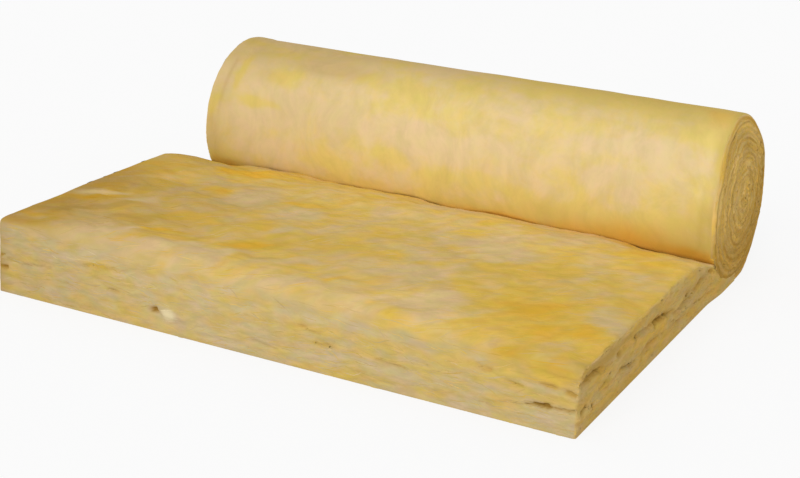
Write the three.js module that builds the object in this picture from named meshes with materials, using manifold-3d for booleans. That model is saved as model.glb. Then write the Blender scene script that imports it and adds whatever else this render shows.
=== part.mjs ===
// A blanket of yellow glass wool: one piece of stock, rolled up at the back and let out flat in
// front. Units are millimetres. X runs across the blanket, the free end points to -Y, Z is up,
// the floor is z = 0, and the origin lies under the middle of the whole blanket.
import * as THREE from 'three';
import { mergeVertices } from 'three/addons/utils/BufferGeometryUtils.js';
import Module from 'manifold-3d';

const wasm = await Module();
wasm.setup();

// The blanket where it lies loose. It has sprung back further on the left than on the right.
const blanketWidth = 1200;
const leftThickness = 151;
const rightThickness = 116;
const flatLength = 880; // from the free end to under the roll's axis
const sideRound = 6; // softened top edge along the two cut sides
const footRound = 8; // softened bottom edge of the free end

// The free end bulges over its top edge, broadly in the middle and tightly at the two corners.
const noseReach = 80;
const noseDrop = 62;
const cornerNoseReach = 28;
const cornerNoseDrop = 20;
const cornerRun = 240; // how far in from each side the corner's shape fades out

// The roll: its turns are squeezed to about a sixth of the loose thickness.
const rollRadius = 181;
const rollSettle = 8; // how far its own weight flattens it against the floor
const rimRound = 10;
const turnThickness = 20;
const eyeRadius = 12; // where the innermost turn closes up
const eyeShift = 30; // the eye lies this far behind the roll's axis

// The crease, where the loose blanket runs in under the roll's skin.
const creaseHeight = 92;
const squeezeLength = 190;

// The seam between the turns, as it shows on both ends of the roll.
const seamWidth = 13;
const seamDepth = 14;
const seamFloorWidth = 5; // where the rounded shoulders end, halfway down
const seamStep = 0.2; // the share of a turn past the crease in which the outer seam moves inward
const evenTurns = 3; // turns in from the crease, past which the seam winds in evenly

// What follows from these sizes.
const sideX = blanketWidth / 2;
const axisHeight = rollRadius - rollSettle;
const overallDepth = flatLength + rollRadius;
const creaseY = flatLength - Math.sqrt(rollRadius ** 2 - (axisHeight - creaseHeight) ** 2);
const turnCount = (rollRadius - eyeRadius) / turnThickness;

// How finely the curves are faceted.
const crossSteps = 12;
const roundSteps = 3;
const noseSteps = 8;
const squeezeSteps = 10;
const flatSteps = 4;
const latheSegments = 72;
const outerSeamSteps = 36; // facets in the outermost turn of the seam
const innerSeamSteps = 10; // and in the innermost

const woolYellow = new THREE.MeshStandardMaterial({ color: 0xe3c274, roughness: 1, metalness: 0 });

/** The angles of a quarter turn, from 0 to 90 degrees, in the given number of steps. */
function quarterTurn(steps) {
  return Array.from({ length: steps + 1 }, (_, step) => (step / steps) * (Math.PI / 2));
}

/** A closed body through rings of equally many points, each ring anticlockwise seen from ahead. */
function loft(rings, outlines) {
  const ringSize = rings[0].length;
  const lastRing = rings.length - 1;
  const triangles = [];
  for (let ring = 0; ring < lastRing; ring += 1) {
    for (let point = 0; point < ringSize; point += 1) {
      const next = (point + 1) % ringSize;
      const here = ring * ringSize;
      const ahead = here + ringSize;
      triangles.push(here + point, here + next, ahead + next);
      triangles.push(here + point, ahead + next, ahead + point);
    }
  }
  for (const [a, b, c] of THREE.ShapeUtils.triangulateShape(outlines[0], [])) {
    triangles.push(c, b, a);
  }
  const lastStart = lastRing * ringSize;
  for (const [a, b, c] of THREE.ShapeUtils.triangulateShape(outlines[1], [])) {
    triangles.push(lastStart + a, lastStart + b, lastStart + c);
  }
  const geometry = new THREE.BufferGeometry();
  const positions = rings.flat().flatMap((point) => point.toArray());
  geometry.setAttribute('position', new THREE.Float32BufferAttribute(positions, 3));
  geometry.setIndex(triangles);
  return geometry;
}

/** A three.js geometry as a solid that can be joined and cut. */
function solidOf(geometry) {
  const bare = geometry.clone();
  bare.deleteAttribute('normal');
  bare.deleteAttribute('uv');
  const merged = mergeVertices(bare);
  const corners = merged.index.array;
  const kept = [];
  for (let first = 0; first < corners.length; first += 3) {
    const [a, b, c] = corners.slice(first, first + 3);
    if (a !== b && b !== c && c !== a) kept.push(a, b, c);
  }
  const vertProperties = new Float32Array(merged.attributes.position.array);
  return new wasm.Manifold(new wasm.Mesh({ numProp: 3, vertProperties, triVerts: new Uint32Array(kept) }));
}

/** A solid as a three.js geometry with flat-shaded facets. */
function geometryOf(solid) {
  const mesh = solid.getMesh();
  const geometry = new THREE.BufferGeometry();
  geometry.setAttribute('position', new THREE.BufferAttribute(mesh.vertProperties, 3));
  geometry.setIndex(new THREE.BufferAttribute(mesh.triVerts, 1));
  geometry.computeVertexNormals();
  return geometry;
}

/** The loose blanket's thickness at x, less what its rounded side edge takes off. */
function topHeight(x) {
  const thickness = THREE.MathUtils.mapLinear(x, -sideX, sideX, leftThickness, rightThickness);
  const intoRound = Math.max(0, Math.abs(x) - (sideX - sideRound));
  return thickness - (sideRound - Math.sqrt(sideRound ** 2 - intoRound ** 2));
}

/** The section of the loose blanket at x, as points (y, z), anticlockwise seen from +X. */
function looseSection(x) {
  const top = topHeight(x);
  const inward = THREE.MathUtils.smoothstep(sideX - Math.abs(x), 0, cornerRun);
  const reach = THREE.MathUtils.lerp(cornerNoseReach, noseReach, inward);
  const drop = THREE.MathUtils.lerp(cornerNoseDrop, noseDrop, inward);
  const squeezeY = creaseY - squeezeLength;
  const foot = quarterTurn(roundSteps).map((turn) => new THREE.Vector2(
    footRound * (1 - Math.cos(turn)),
    footRound * (1 - Math.sin(turn)),
  ));
  const insideRoll = [new THREE.Vector2(flatLength, 0), new THREE.Vector2(flatLength, creaseHeight)];
  const squeeze = quarterTurn(squeezeSteps).map((turn, step) => new THREE.Vector2(
    creaseY - squeezeLength * (step / squeezeSteps),
    creaseHeight + (top - creaseHeight) * Math.sin(turn),
  ));
  const flat = Array.from({ length: flatSteps - 1 }, (_, step) => new THREE.Vector2(
    THREE.MathUtils.lerp(squeezeY, reach, (step + 1) / flatSteps),
    top,
  ));
  const nose = quarterTurn(noseSteps).map((turn) => new THREE.Vector2(
    reach * (1 - Math.sin(turn)),
    top - drop * (1 - Math.cos(turn)),
  ));
  return [...foot, ...insideRoll, ...squeeze, ...flat, ...nose];
}

/** The places across the blanket where its section is drawn, closer together near the sides. */
function crossPlaces() {
  const innerX = sideX - sideRound;
  const inner = Array.from({ length: crossSteps + 1 }, (_, step) => (
    -innerX * Math.cos((step / crossSteps) * Math.PI)
  ));
  const rounds = quarterTurn(roundSteps).slice(1).map((turn) => innerX + sideRound * Math.sin(turn));
  return [...rounds.map((x) => -x).reverse(), ...inner, ...rounds];
}

/** The blanket from its free end to where it lies squeezed under the roll. */
function looseBlanket() {
  const places = crossPlaces();
  const sections = places.map(looseSection);
  const rings = sections.map((section, ring) => (
    section.map(({ x: y, y: z }) => new THREE.Vector3(places[ring], y, z))
  ));
  return solidOf(loft(rings, [sections.at(0), sections.at(-1)]));
}

/** The roll, turned about its own axis, with rounded rims and its underside settled flat. */
function turnedRoll() {
  const rim = quarterTurn(roundSteps).map((turn) => new THREE.Vector2(
    rollRadius - rimRound * (1 - Math.sin(turn)),
    sideX - rimRound * (1 - Math.cos(turn)),
  ));
  const halfOutline = [new THREE.Vector2(0, sideX), ...rim];
  const mirrored = halfOutline.map(({ x: radius, y: along }) => new THREE.Vector2(radius, -along));
  const outline = [...mirrored, ...halfOutline.reverse()];
  const turned = new THREE.LatheGeometry(outline, latheSegments);
  turned.rotateZ(-Math.PI / 2);
  turned.translate(0, flatLength, axisHeight);
  const aboveFloor = new THREE.BoxGeometry(2 * blanketWidth, 4 * rollRadius, 4 * rollRadius);
  aboveFloor.translate(0, flatLength, 2 * rollRadius);
  return solidOf(turned).intersect(solidOf(aboveFloor));
}

/** How many turn thicknesses inside the roll's skin the seam lies, so many turns from the crease. */
function woundIn(turns) {
  const whole = Math.floor(turns);
  const share = turns - whole;
  const stepped = Math.sin(Math.min(1, share / seamStep) * (Math.PI / 2));
  return whole + THREE.MathUtils.lerp(stepped, share, Math.min(1, turns / evenTurns));
}

/** A point (y, z) of the seam, the given number of turns in from the crease. */
function seamPoint(turns) {
  const radius = rollRadius - turnThickness * woundIn(turns);
  const creaseAngle = Math.atan2(creaseHeight - axisHeight, creaseY - flatLength);
  const angle = creaseAngle + turns * 2 * Math.PI;
  const rise = radius * Math.sin(angle);
  const settled = rise < 0 ? rise * (axisHeight / rollRadius) : rise;
  const shift = eyeShift * (turns / turnCount);
  return new THREE.Vector2(flatLength + shift + radius * Math.cos(angle), axisHeight + settled);
}

/** The V-shaped groove of the seam in the roll's right end, with shoulders rounded in two facets. */
function seamGroove() {
  const clear = 2; // how far the groove's own solid stands out of the end face
  const widthAbove = (seamWidth / 2) * (1 + clear / seamDepth);
  const section = [
    new THREE.Vector2(widthAbove, clear),
    new THREE.Vector2(-widthAbove, clear),
    new THREE.Vector2(-seamFloorWidth / 2, -seamDepth / 2),
    new THREE.Vector2(0, -seamDepth),
    new THREE.Vector2(seamFloorWidth / 2, -seamDepth / 2),
  ];
  const places = [0];
  while (places.at(-1) < turnCount) {
    const depthIn = places.at(-1) / turnCount;
    places.push(places.at(-1) + 1 / THREE.MathUtils.lerp(outerSeamSteps, innerSeamSteps, depthIn));
  }
  places[places.length - 1] = turnCount;
  const nearby = 0.001; // of a turn
  const rings = places.map((turns) => {
    const centre = seamPoint(turns);
    const along = seamPoint(turns + nearby).sub(centre).normalize();
    return section.map(({ x: across, y: out }) => new THREE.Vector3(
      sideX + out,
      centre.x - across * along.y,
      centre.y + across * along.x,
    ));
  });
  return solidOf(loft(rings, [section, section]));
}

const rightGroove = seamGroove();
const leftGroove = rightGroove.mirror([1, 0, 0]);
const blanket = looseBlanket().add(turnedRoll()).subtract(rightGroove).subtract(leftGroove);

const woolBlanket = new THREE.Mesh(geometryOf(blanket), woolYellow);
woolBlanket.name = 'wool_blanket';
woolBlanket.position.y = -overallDepth / 2;

const group = new THREE.Group();
group.add(woolBlanket);

export default group;
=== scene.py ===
# %% [markdown]
# # A blanket of glass wool, partly unrolled
#
# The real thing is one length of yellow glass wool. Its back end is wound into a tight roll. Its
# front end has been let out, and there the wool has sprung back to six or seven times the thickness
# of a turn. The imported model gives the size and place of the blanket, and this lesson dresses it: the
# long skin of the roll, the fluffy top of the loose part, and the cut edges, where the layers show.

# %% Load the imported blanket
import itertools
import math

import bpy
import numpy as np
from mathutils import Matrix, Vector


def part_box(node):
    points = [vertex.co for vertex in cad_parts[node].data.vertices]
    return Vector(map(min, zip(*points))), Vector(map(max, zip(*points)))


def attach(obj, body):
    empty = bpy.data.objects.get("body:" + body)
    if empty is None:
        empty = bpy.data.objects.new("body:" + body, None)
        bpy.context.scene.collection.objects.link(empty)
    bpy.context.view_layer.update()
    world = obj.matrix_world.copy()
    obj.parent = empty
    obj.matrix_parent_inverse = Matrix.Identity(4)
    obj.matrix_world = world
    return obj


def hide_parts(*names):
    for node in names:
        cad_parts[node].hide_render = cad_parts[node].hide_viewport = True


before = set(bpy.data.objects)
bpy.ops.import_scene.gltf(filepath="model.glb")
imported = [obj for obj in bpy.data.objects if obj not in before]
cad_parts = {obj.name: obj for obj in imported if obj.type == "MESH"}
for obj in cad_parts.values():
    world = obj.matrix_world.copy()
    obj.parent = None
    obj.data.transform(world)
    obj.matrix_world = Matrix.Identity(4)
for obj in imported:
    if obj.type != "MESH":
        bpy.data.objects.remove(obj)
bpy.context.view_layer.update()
low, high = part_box("wool_blanket")
print("packed blanket:", [round(edge, 4) for edge in (*low, *high)])

# %% [markdown]
# The sizes are in metres. The blanket's box gives its width, its free end and the back of the roll.
# The other sizes repeat what the solid blanket was made with: a roll of 181 mm radius, settled 8 mm
# into itself on the floor, and turns of 20 mm. The loose wool is thicker on the left, where it has
# sprung back further, and the roll squeezes it over its last 190 mm before the crease.

# %% Sizes of the blanket
SIDE = high.x
FREE_END = low.y
ROLL_RADIUS = 0.181
ROLL_SETTLE = 0.008
AXIS_Y = high.y - ROLL_RADIUS
AXIS_Z = ROLL_RADIUS - ROLL_SETTLE
TURN = 0.020
EYE_RADIUS = 0.012
EYE_SHIFT = 0.030
LEFT_THICKNESS = 0.151
RIGHT_THICKNESS = 0.116
CREASE_Z = 0.092
CREASE_Y = AXIS_Y - math.sqrt(ROLL_RADIUS**2 - (AXIS_Z - CREASE_Z) ** 2)
SQUEEZE = 0.190
TURN_COUNT = (ROLL_RADIUS - EYE_RADIUS) / TURN
print("turns in the roll:", round(TURN_COUNT, 2))

# %% [markdown]
# The camera comes early, so that every later step can be looked at from the right place. It stands
# to the right of the free end and looks down on the blanket at 19 degrees with a long lens.

# %% Camera
CAMERA_PLACE = Vector((1.3641, FREE_END - 2.1343, 1.1064))
CAMERA_AZIMUTH = 27.18
CAMERA_ELEVATION = 19.04
CAMERA_ROLL = 2.36
LENS = 69.3


def place_camera():
    """A long lens that looks down on the free end from the right."""
    camera = bpy.data.objects.new("camera", bpy.data.cameras.new("camera"))
    camera.data.lens = LENS
    camera.data.clip_end = 100
    turn = Matrix.Rotation(math.radians(CAMERA_AZIMUTH), 4, "Z")
    tilt = Matrix.Rotation(math.radians(90 - CAMERA_ELEVATION), 4, "X")
    roll = Matrix.Rotation(math.radians(CAMERA_ROLL), 4, "Z")
    camera.matrix_world = Matrix.Translation(CAMERA_PLACE) @ turn @ tilt @ roll
    bpy.context.scene.collection.objects.link(camera)
    bpy.context.scene.camera = camera
    return camera


place_camera()
print("camera at", [round(edge, 3) for edge in CAMERA_PLACE])

# %% [markdown]
# Wool is all soft randomness, so one noise function shapes most of it. It gives each corner of a
# grid a random slope and blends the slopes in between. The grid may be stretched: wool that was
# laid down by a moving belt has lumps that are long one way and thin the other. Blender has noise
# of its own, but only for one point at a time; done with arrays, a whole piece takes a moment. The
# dice are seeded, so the wool comes out the same on every run. Real fluff has lumps on its lumps, so
# noise of several sizes is piled up, and each table of layers below is such a pile: a height in
# metres, a kind of noise, and the sizes of its lumps.

# %% Soft noise
LATTICE = 256
SEEDS_APART = 17.31
CLOUD_HEIGHT = 1.6
BILLOW_MEAN = 0.55
dice = np.random.default_rng(11)
shuffled = dice.permutation(LATTICE)
slopes = dice.normal(size=(LATTICE, 3))
slopes /= np.linalg.norm(slopes, axis=1, keepdims=True)


def cloud(points, sizes, seed=0):
    """Soft noise from about -1 to 1, with lumps of the given sizes along the three columns."""
    spots = points / np.asarray(sizes) + SEEDS_APART * seed
    cell = np.floor(spots).astype(int)
    part = spots - cell
    ease = part**3 * (part * (part * 6 - 15) + 10)
    total = np.zeros(len(points))
    for corner in itertools.product((0, 1), repeat=3):
        at = (cell + corner) % LATTICE
        drawn = shuffled[(shuffled[at[:, 0]] + at[:, 1]) % LATTICE]
        drawn = shuffled[(drawn + at[:, 2]) % LATTICE]
        weight = np.prod(np.where(corner, ease, 1 - ease), axis=1)
        total += weight * np.einsum("ij,ij->i", slopes[drawn], part - corner)
    return CLOUD_HEIGHT * total


def billow(points, sizes, seed=0):
    """Rounded clumps with sharp valleys between them, about 0 on the whole."""
    return 2 * np.abs(cloud(points, sizes, seed)) - BILLOW_MEAN


def pile(points, seed, layers):
    """Several layers of noise, each (height, kind of noise, sizes), added up."""
    seeded = zip(itertools.count(seed), layers)
    return sum(height * noise(points, sizes, at) for at, (height, noise, sizes) in seeded)


def ramp(value, start, stop):
    """0 up to start, 1 from stop on, and a smooth rise between them."""
    share = np.clip((value - start) / (stop - start), 0, 1)
    return share * share * (3 - 2 * share)


three_spots = np.array([[0.1, 0.2, 0.3], [4, 5, 6.5], [9.2, 0, 1]])
print("noise at three spots:", cloud(three_spots, 1).round(2))

# %% [markdown]
# Seen from its end, the blanket is one strip. It runs flat along the floor, goes in under the roll,
# climbs the roll's back and comes over the top, then tucks in at the crease and winds on inward.
# The seam between one turn and the next starts at the crease, so every turn lies between two points
# of that seam, a whole turn apart. Before the crease the same curve is the roll's own skin.

# %% The seam that winds inward
CREASE_ANGLE = math.atan2(CREASE_Z - AXIS_Z, CREASE_Y - AXIS_Y)
UNDER_AXIS = (-math.pi / 2 - CREASE_ANGLE) / (2 * math.pi)
SEAM_STEP = 0.2
EVEN_TURNS = 3


def wound_in(turns):
    """How many turn thicknesses inside the skin the seam lies."""
    whole = np.floor(turns)
    share = turns - whole
    stepped = np.sin(np.minimum(1, share / SEAM_STEP) * math.pi / 2)
    even = np.minimum(1, turns / EVEN_TURNS)
    return whole + stepped * (1 - even) + share * even


def seam(turns):
    """Points (y, z) on the seam, so many turns in from the crease, or on the skin where negative."""
    inside = np.maximum(turns, 0)
    radius = np.maximum(ROLL_RADIUS - TURN * wound_in(inside), 0)
    angle = CREASE_ANGLE + 2 * math.pi * turns
    rise = radius * np.sin(angle)
    squash = 1 - ROLL_SETTLE / ROLL_RADIUS * np.minimum(1, inside / UNDER_AXIS)
    rise = np.where(rise < 0, rise * squash, rise)
    shift = EYE_SHIFT * inside / TURN_COUNT
    return np.stack([AXIS_Y + shift + radius * np.cos(angle), np.maximum(AXIS_Z + rise, 0)], axis=1)


print("seam under the axis:", seam(np.array([UNDER_AXIS])).round(4))

# %% [markdown]
# Every piece of the strip is a bent brick: a grid of points along, through and across the blanket,
# of which only the outer ones are kept. It could also start as a cube that is cut and bent with
# modifiers. The grid was chosen because its six faces are neat rows of quads, closed all round, and
# the wool's own directions come for free: they are the grid's. One face's points, in rows and
# columns, are a net here, and the strands walk over such nets later on.

# %% A brick's skin as a grid
def quads_of(net):
    """The quads between the points of a net."""
    return np.stack([net[:-1, :-1], net[1:, :-1], net[1:, 1:], net[:-1, 1:]], axis=-1).reshape(-1, 4)


def brick(along_count, through_count, across_count):
    """Grid steps of a brick's outer points, and its six nets by face, facing out."""
    number = np.full((along_count, through_count, across_count), -1)
    outer = np.zeros(number.shape, bool)
    outer[[0, -1]] = outer[:, [0, -1]] = outer[:, :, [0, -1]] = True
    steps = np.argwhere(outer)
    number[outer] = np.arange(len(steps))
    nets = {
        "start": number[0].T,
        "stop": number[-1],
        "outer": number[:, 0],
        "inner": number[:, -1].T,
        "left": number[:, :, 0].T,
        "right": number[:, :, -1],
    }
    return steps, nets


def quads_of_all(nets):
    """The quads of several nets, one net after the other."""
    return np.concatenate([quads_of(net) for net in nets])


small_steps, small_nets = brick(3, 3, 3)
print("a brick of 2 x 2 x 2 cells has", len(small_steps), "points")
print("and", len(quads_of_all(small_nets.values())), "quads")

# %% [markdown]
# Wool's lumps stand out at right angles to its plain shape, so each point needs a direction outward.
# Blender works one out for every mesh, but these points aren't a mesh yet. So it is added up here
# from the directions of the quads round the point, large quads counting more. The rows and columns
# of a grid stand close where the wool has edges and seams, and wide apart elsewhere, to keep the
# mesh light.

# %% Directions outward, and places along a line
def normals_of(points, quads):
    """A smooth outward direction at each point."""
    one_diagonal = points[quads[:, 2]] - points[quads[:, 0]]
    other_diagonal = points[quads[:, 3]] - points[quads[:, 1]]
    faced = np.cross(one_diagonal, other_diagonal)
    total = np.zeros_like(points)
    for corner in range(4):
        np.add.at(total, quads[:, corner], faced)
    return total / np.maximum(np.linalg.norm(total, axis=1, keepdims=True), 1e-12)


def spread(start, *stretches):
    """Places along a line, from its start through stretches of (stop, step)."""
    places = [np.array([start])]
    for stop, step in stretches:
        last = places[-1][-1]
        count = max(1, round(abs(stop - last) / step))
        places.append(np.linspace(last, stop, count + 1)[1:])
    return np.concatenate(places)


small_points = small_steps - 1.0
small_normals = normals_of(small_points, quads_of_all(small_nets.values()))
print("outward at the first corner:", small_normals[0].round(2))
print("places along a line:", spread(0, (0.1, 0.05), (1, 0.5)))

# %% [markdown]
# A cut edge of wool is never sharp. The points near an edge are moved as a square is bent into a
# disc: the two faces stay where they are and the corner between them becomes a quarter ellipse.
# Lines that were measured at a few places are joined by soft waves, level at each of the places.

# %% Rounding an edge, and waves through a few places
def rounded(first, second, first_radius, second_radius):
    """Distances from two faces, moved so that the edge between the faces is rounded."""
    near_first = np.clip(1 - first / first_radius, 0, 1)
    near_second = np.clip(1 - second / second_radius, 0, 1)
    near_both = (near_first > 0) & (near_second > 0)
    bent_first = first_radius * (1 - near_first * np.sqrt(1 - near_second * near_second / 2))
    bent_second = second_radius * (1 - near_second * np.sqrt(1 - near_first * near_first / 2))
    return np.where(near_both, bent_first, first), np.where(near_both, bent_second, second)


def waves(value, *pairs):
    """A soft line through a few (place, height) pairs, level at each of them."""
    places, heights = np.array(pairs).T
    at = np.interp(value, places, np.arange(len(places)))
    cell = np.minimum(at.astype(int), len(places) - 2)
    share = ramp(at - cell, 0, 1)
    return heights[cell] + (heights[cell + 1] - heights[cell]) * share


corner = rounded(np.zeros(1), np.zeros(1), 0.01, 0.01)
print("halfway round an edge of 10 mm:", np.round(corner, 4).ravel())

# %% [markdown]
# The loose part lies 880 mm long, from the free end to under the roll. The roll presses it down
# over its last hand's breadths, and it tucks in under the skin at the crease, a line that rises and
# falls with the lumps of the wool. The wool swells up a little right in front of that line, which is
# why the crease reads as one thin dark stroke. Its rows of points stand a millimetre apart there.

# %% The loose part's steps and its crease
ACROSS = spread(-SIDE, (-SIDE + 0.024, 0.003), (SIDE - 0.024, 0.0046), (SIDE, 0.003))
THROUGH = spread(0, (0.05, 0.0125), (0.95, 0.0175), (1, 0.0125))
LOOSE_LENGTH = CREASE_Y - FREE_END
NEAR_CREASE = (LOOSE_LENGTH - 0.03, 0.006), (LOOSE_LENGTH - 0.01, 0.003), (LOOSE_LENGTH, 0.001)
ROWS = spread(0, (0.10, 0.004), *NEAR_CREASE)
TUCKED_ROWS = spread(0, (1, 0.1))[1:]
CREASE_LINE = (
    (-0.60, 0.094), (-0.55, 0.087), (-0.50, 0.092), (-0.43, 0.104), (-0.38, 0.105), (-0.29, 0.097),
    (-0.17, 0.100), (-0.08, 0.103), (0.03, 0.092), (0.13, 0.102), (0.24, 0.093), (0.38, 0.096),
    (0.49, 0.080), (0.60, 0.075),
)
SWELL = 0.008
SWELL_RUN = 0.0025
CREASE_WAVER = (0.0016, cloud, 0.035), (0.0010, cloud, 0.013)


def crease_height(x):
    """Where the loose wool meets the skin of the roll, before it swells up in front of it."""
    fine = pile(np.stack([x, 0 * x, 0 * x], axis=1), 5, CREASE_WAVER)
    return waves(x, *CREASE_LINE) - SWELL + fine


def crease_turns(x):
    """The same place as a number of turns along the seam, and its distance from the free end."""
    height = crease_height(x)
    reach = np.sqrt(ROLL_RADIUS**2 - (AXIS_Z - height) ** 2)
    turns = (np.arctan2(height - AXIS_Z, -reach) - CREASE_ANGLE) / (2 * math.pi)
    return turns, AXIS_Y - reach - FREE_END


def thickness(x):
    """The loose thickness, from the left side to the right."""
    return np.interp(x, (-SIDE, SIDE), (LEFT_THICKNESS, RIGHT_THICKNESS))


print("points: rows", len(ROWS) + len(TUCKED_ROWS), "through", len(THROUGH), "across", len(ACROSS))

# %% [markdown]
# The top surface is one height for each place. From the free end it is flat, then it sinks to the
# crease in a quarter of a sine wave, or in an even slope at the far left. Past the crease its rows
# follow the seam under the roll. A cube with a lattice round it could be bent like this by hand, but
# the crease and the seam would never quite meet the roll; worked out from the roll's own curve, they
# do.

# %% The loose part's plain shape
LEFT_SLOPE = -0.52, -0.30
SLOPE_BEND = 1.15


def loose_plain(steps):
    """The loose part's points before any lumps, with each point's row, height share and column."""
    row, share, x = steps[:, 0], THROUGH[steps[:, 1]], ACROSS[steps[:, 2]]
    crease_z = crease_height(x)
    contact, crease_length = crease_turns(x)

    run = ROWS[np.minimum(row, len(ROWS) - 1)] * crease_length / LOOSE_LENGTH
    before = crease_length - run
    share_before = np.clip(before / SQUEEZE, 0, 1)
    bulging = ramp(x, *LEFT_SLOPE)
    bulge = np.sin(share_before * math.pi / 2)
    slope = 1 - (1 - share_before) ** SLOPE_BEND
    sink = bulge * bulging + slope * (1 - bulging)
    swell = SWELL * (1 - np.exp(-before / SWELL_RUN))
    top = crease_z + (thickness(x) - crease_z - SWELL) * sink + swell

    tucked = TUCKED_ROWS[np.clip(row - len(ROWS), 0, len(TUCKED_ROWS) - 1)]
    under = seam(contact + (UNDER_AXIS - contact) * tucked)
    is_tucked = row >= len(ROWS)
    run = np.where(is_tucked, under[:, 0] - FREE_END, run)
    top = np.where(is_tucked, under[:, 1], top)
    return x, run, top, share


loose_steps, loose_nets = brick(len(ROWS) + len(TUCKED_ROWS), len(THROUGH), len(ACROSS))
sharp_edged = loose_plain(loose_steps)
print("height of the loose wool's top:", sharp_edged[2].min().round(3), "to", sharp_edged[2].max().round(3))

# %% [markdown]
# The front swells over its top edge in a long nose, 80 mm deep in the middle and tight at the two
# corners. The right side's top edge is cut sharply in front and softens towards the roll, so its
# rounding is a table of (distance from the free end, radius) pairs. A bevel modifier has one width
# unless every edge is given a weight of its own; here the rounding simply changes along the edge.

# %% Rounded edges of the loose part
NOSE_REACH = 0.080
NOSE_DROP = 0.062
CORNER_REACH = 0.028
CORNER_DROP = 0.020
CORNER_RUN = 0.240
FOOT_ROUND = 0.002
UPRIGHT_ROUND = 0.006
LEFT_SHOULDER = 0.005
RIGHT_SHOULDER = (
    (0, 0.007), (0.45, 0.010), (0.60, 0.022), (0.70, 0.012), (0.735, 0.002), (0.88, 0.002),
)


def loose_rounded(x, run, top, share):
    """The same points with the nose, the foot and the two cut sides rounded."""
    inward = ramp(SIDE - np.abs(x), 0, CORNER_RUN)
    reach = CORNER_REACH + (NOSE_REACH - CORNER_REACH) * inward
    drop = CORNER_DROP + (NOSE_DROP - CORNER_DROP) * inward
    shoulder = np.where(x > 0, waves(run, *RIGHT_SHOULDER), LEFT_SHOULDER)
    shoulder = np.minimum(shoulder, top * 0.45)
    depth, side = top * (1 - share), SIDE - np.abs(x)
    run, depth = rounded(run, depth, reach, drop)
    height = top - depth
    run, height = rounded(run, height, FOOT_ROUND, FOOT_ROUND)
    side, depth = rounded(side, top - height, shoulder, shoulder)
    side, run = rounded(side, run, UPRIGHT_ROUND, UPRIGHT_ROUND)
    return np.stack([np.sign(x) * (SIDE - side), FREE_END + run, top - depth], axis=1)


loose_points = loose_rounded(*sharp_edged)
print("loose part:", loose_points.min(axis=0).round(3), "to", loose_points.max(axis=0).round(3))

# %% [markdown]
# Wool that was cut with a blade shows its layers. On the cut faces the noise is therefore long
# along the cut and only a few millimetres high, and it follows layers that rise and fall. A few
# slits and pits are placed where layers have come apart and where tufts have pulled out.
# Each is a short line, a half width and a depth; a tuft is a pit with a negative depth. Two bits of
# noise make the lines wander, so that no slit is straight.

# %% Slits, pits and tufts of the free end
FRONT_MARKS = (
    (((0.43, 0.026), (0.465, 0.033), (0.51, 0.041)), 0.0024, 0.003),
    (((0.51, 0.041), (0.545, 0.045), (0.571, 0.046), (0.6, 0.048)), 0.0026, 0.006),
    (((0.53, 0.044), (0.552, 0.046)), 0.0045, 0.006), (((-0.612, 0.076), (-0.585, 0.077)), 0.003, 0.0065),
    (((-0.612, 0.053), (-0.582, 0.054)), 0.003, 0.007),
    (((-0.575, 0.07), (-0.545, 0.066), (-0.51, 0.07), (-0.47, 0.074)), 0.0022, 0.003),
    (((-0.238, 0.04), (-0.23, 0.042)), 0.006, 0.011), (((-0.207, 0.042), (-0.19, 0.039)), 0.012, -0.007),
    (((-0.4, 0.096), (-0.349, 0.1), (-0.3, 0.102)), 0.003, 0.004),
    (((-0.262, 0.11), (-0.235, 0.112)), 0.004, 0.005), (((-0.16, 0.117), (-0.118, 0.116)), 0.0032, 0.005),
    (((-0.335, 0.06), (-0.315, 0.058)), 0.004, 0.005), (((0.08, 0.078), (0.121, 0.074)), 0.0035, 0.004),
    (((0.4, 0.09), (0.44, 0.084)), 0.004, 0.005), (((0.48, 0.072), (0.505, 0.07)), 0.003, 0.004),
    (((0.54, 0.083), (0.56, 0.08)), 0.0035, 0.005), (((0.578, 0.078), (0.598, 0.075)), 0.004, 0.006),
    (((0.11, 0.056), (0.14, 0.053)), 0.003, 0.004), (((-0.02, 0.03), (0.03, 0.026)), 0.003, 0.003),
    (((0.23, 0.052), (0.29, 0.048)), 0.0026, 0.003),
)
SIDE_MARKS = (
    (((0.02, 0.038), (0.04, 0.041)), 0.0045, 0.008), (((0.066, 0.033), (0.074, 0.032)), 0.0035, 0.008),
    (((0.004, 0.095), (0.03, 0.092), (0.07, 0.086), (0.1, 0.083)), 0.0024, 0.006),
    (((0.1, 0.05), (0.15, 0.046)), 0.0025, 0.004), (((0.185, 0.08), (0.198, 0.077)), 0.003, 0.006),
    (((0.264, 0.073), (0.28, 0.077), (0.29, 0.081)), 0.0026, 0.01),
    (((0.2, 0.05), (0.225, 0.045), (0.255, 0.035), (0.28, 0.027)), 0.0024, 0.005),
    (((0.372, 0.066), (0.388, 0.07), (0.398, 0.077)), 0.003, 0.011),
    (((0.396, 0.073), (0.43, 0.068), (0.475, 0.063)), 0.0024, 0.008),
    (((0.3, 0.026), (0.37, 0.03)), 0.002, 0.004), (((0.48, 0.04), (0.54, 0.043)), 0.0018, 0.004),
    (((0.568, 0.065), (0.578, 0.063)), 0.0046, 0.008), (((0.62, 0.031), (0.68, 0.026)), 0.002, 0.005),
    (((0.712, 0.07), (0.722, 0.066)), 0.0035, 0.006), (((0.762, 0.043), (0.776, 0.04)), 0.0035, 0.007),
)


WANDER_ALONG = ((0.006, cloud, 0.022),)
WANDER_UP = (0.0035, cloud, 0.018), (0.0015, cloud, 0.007)


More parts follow.
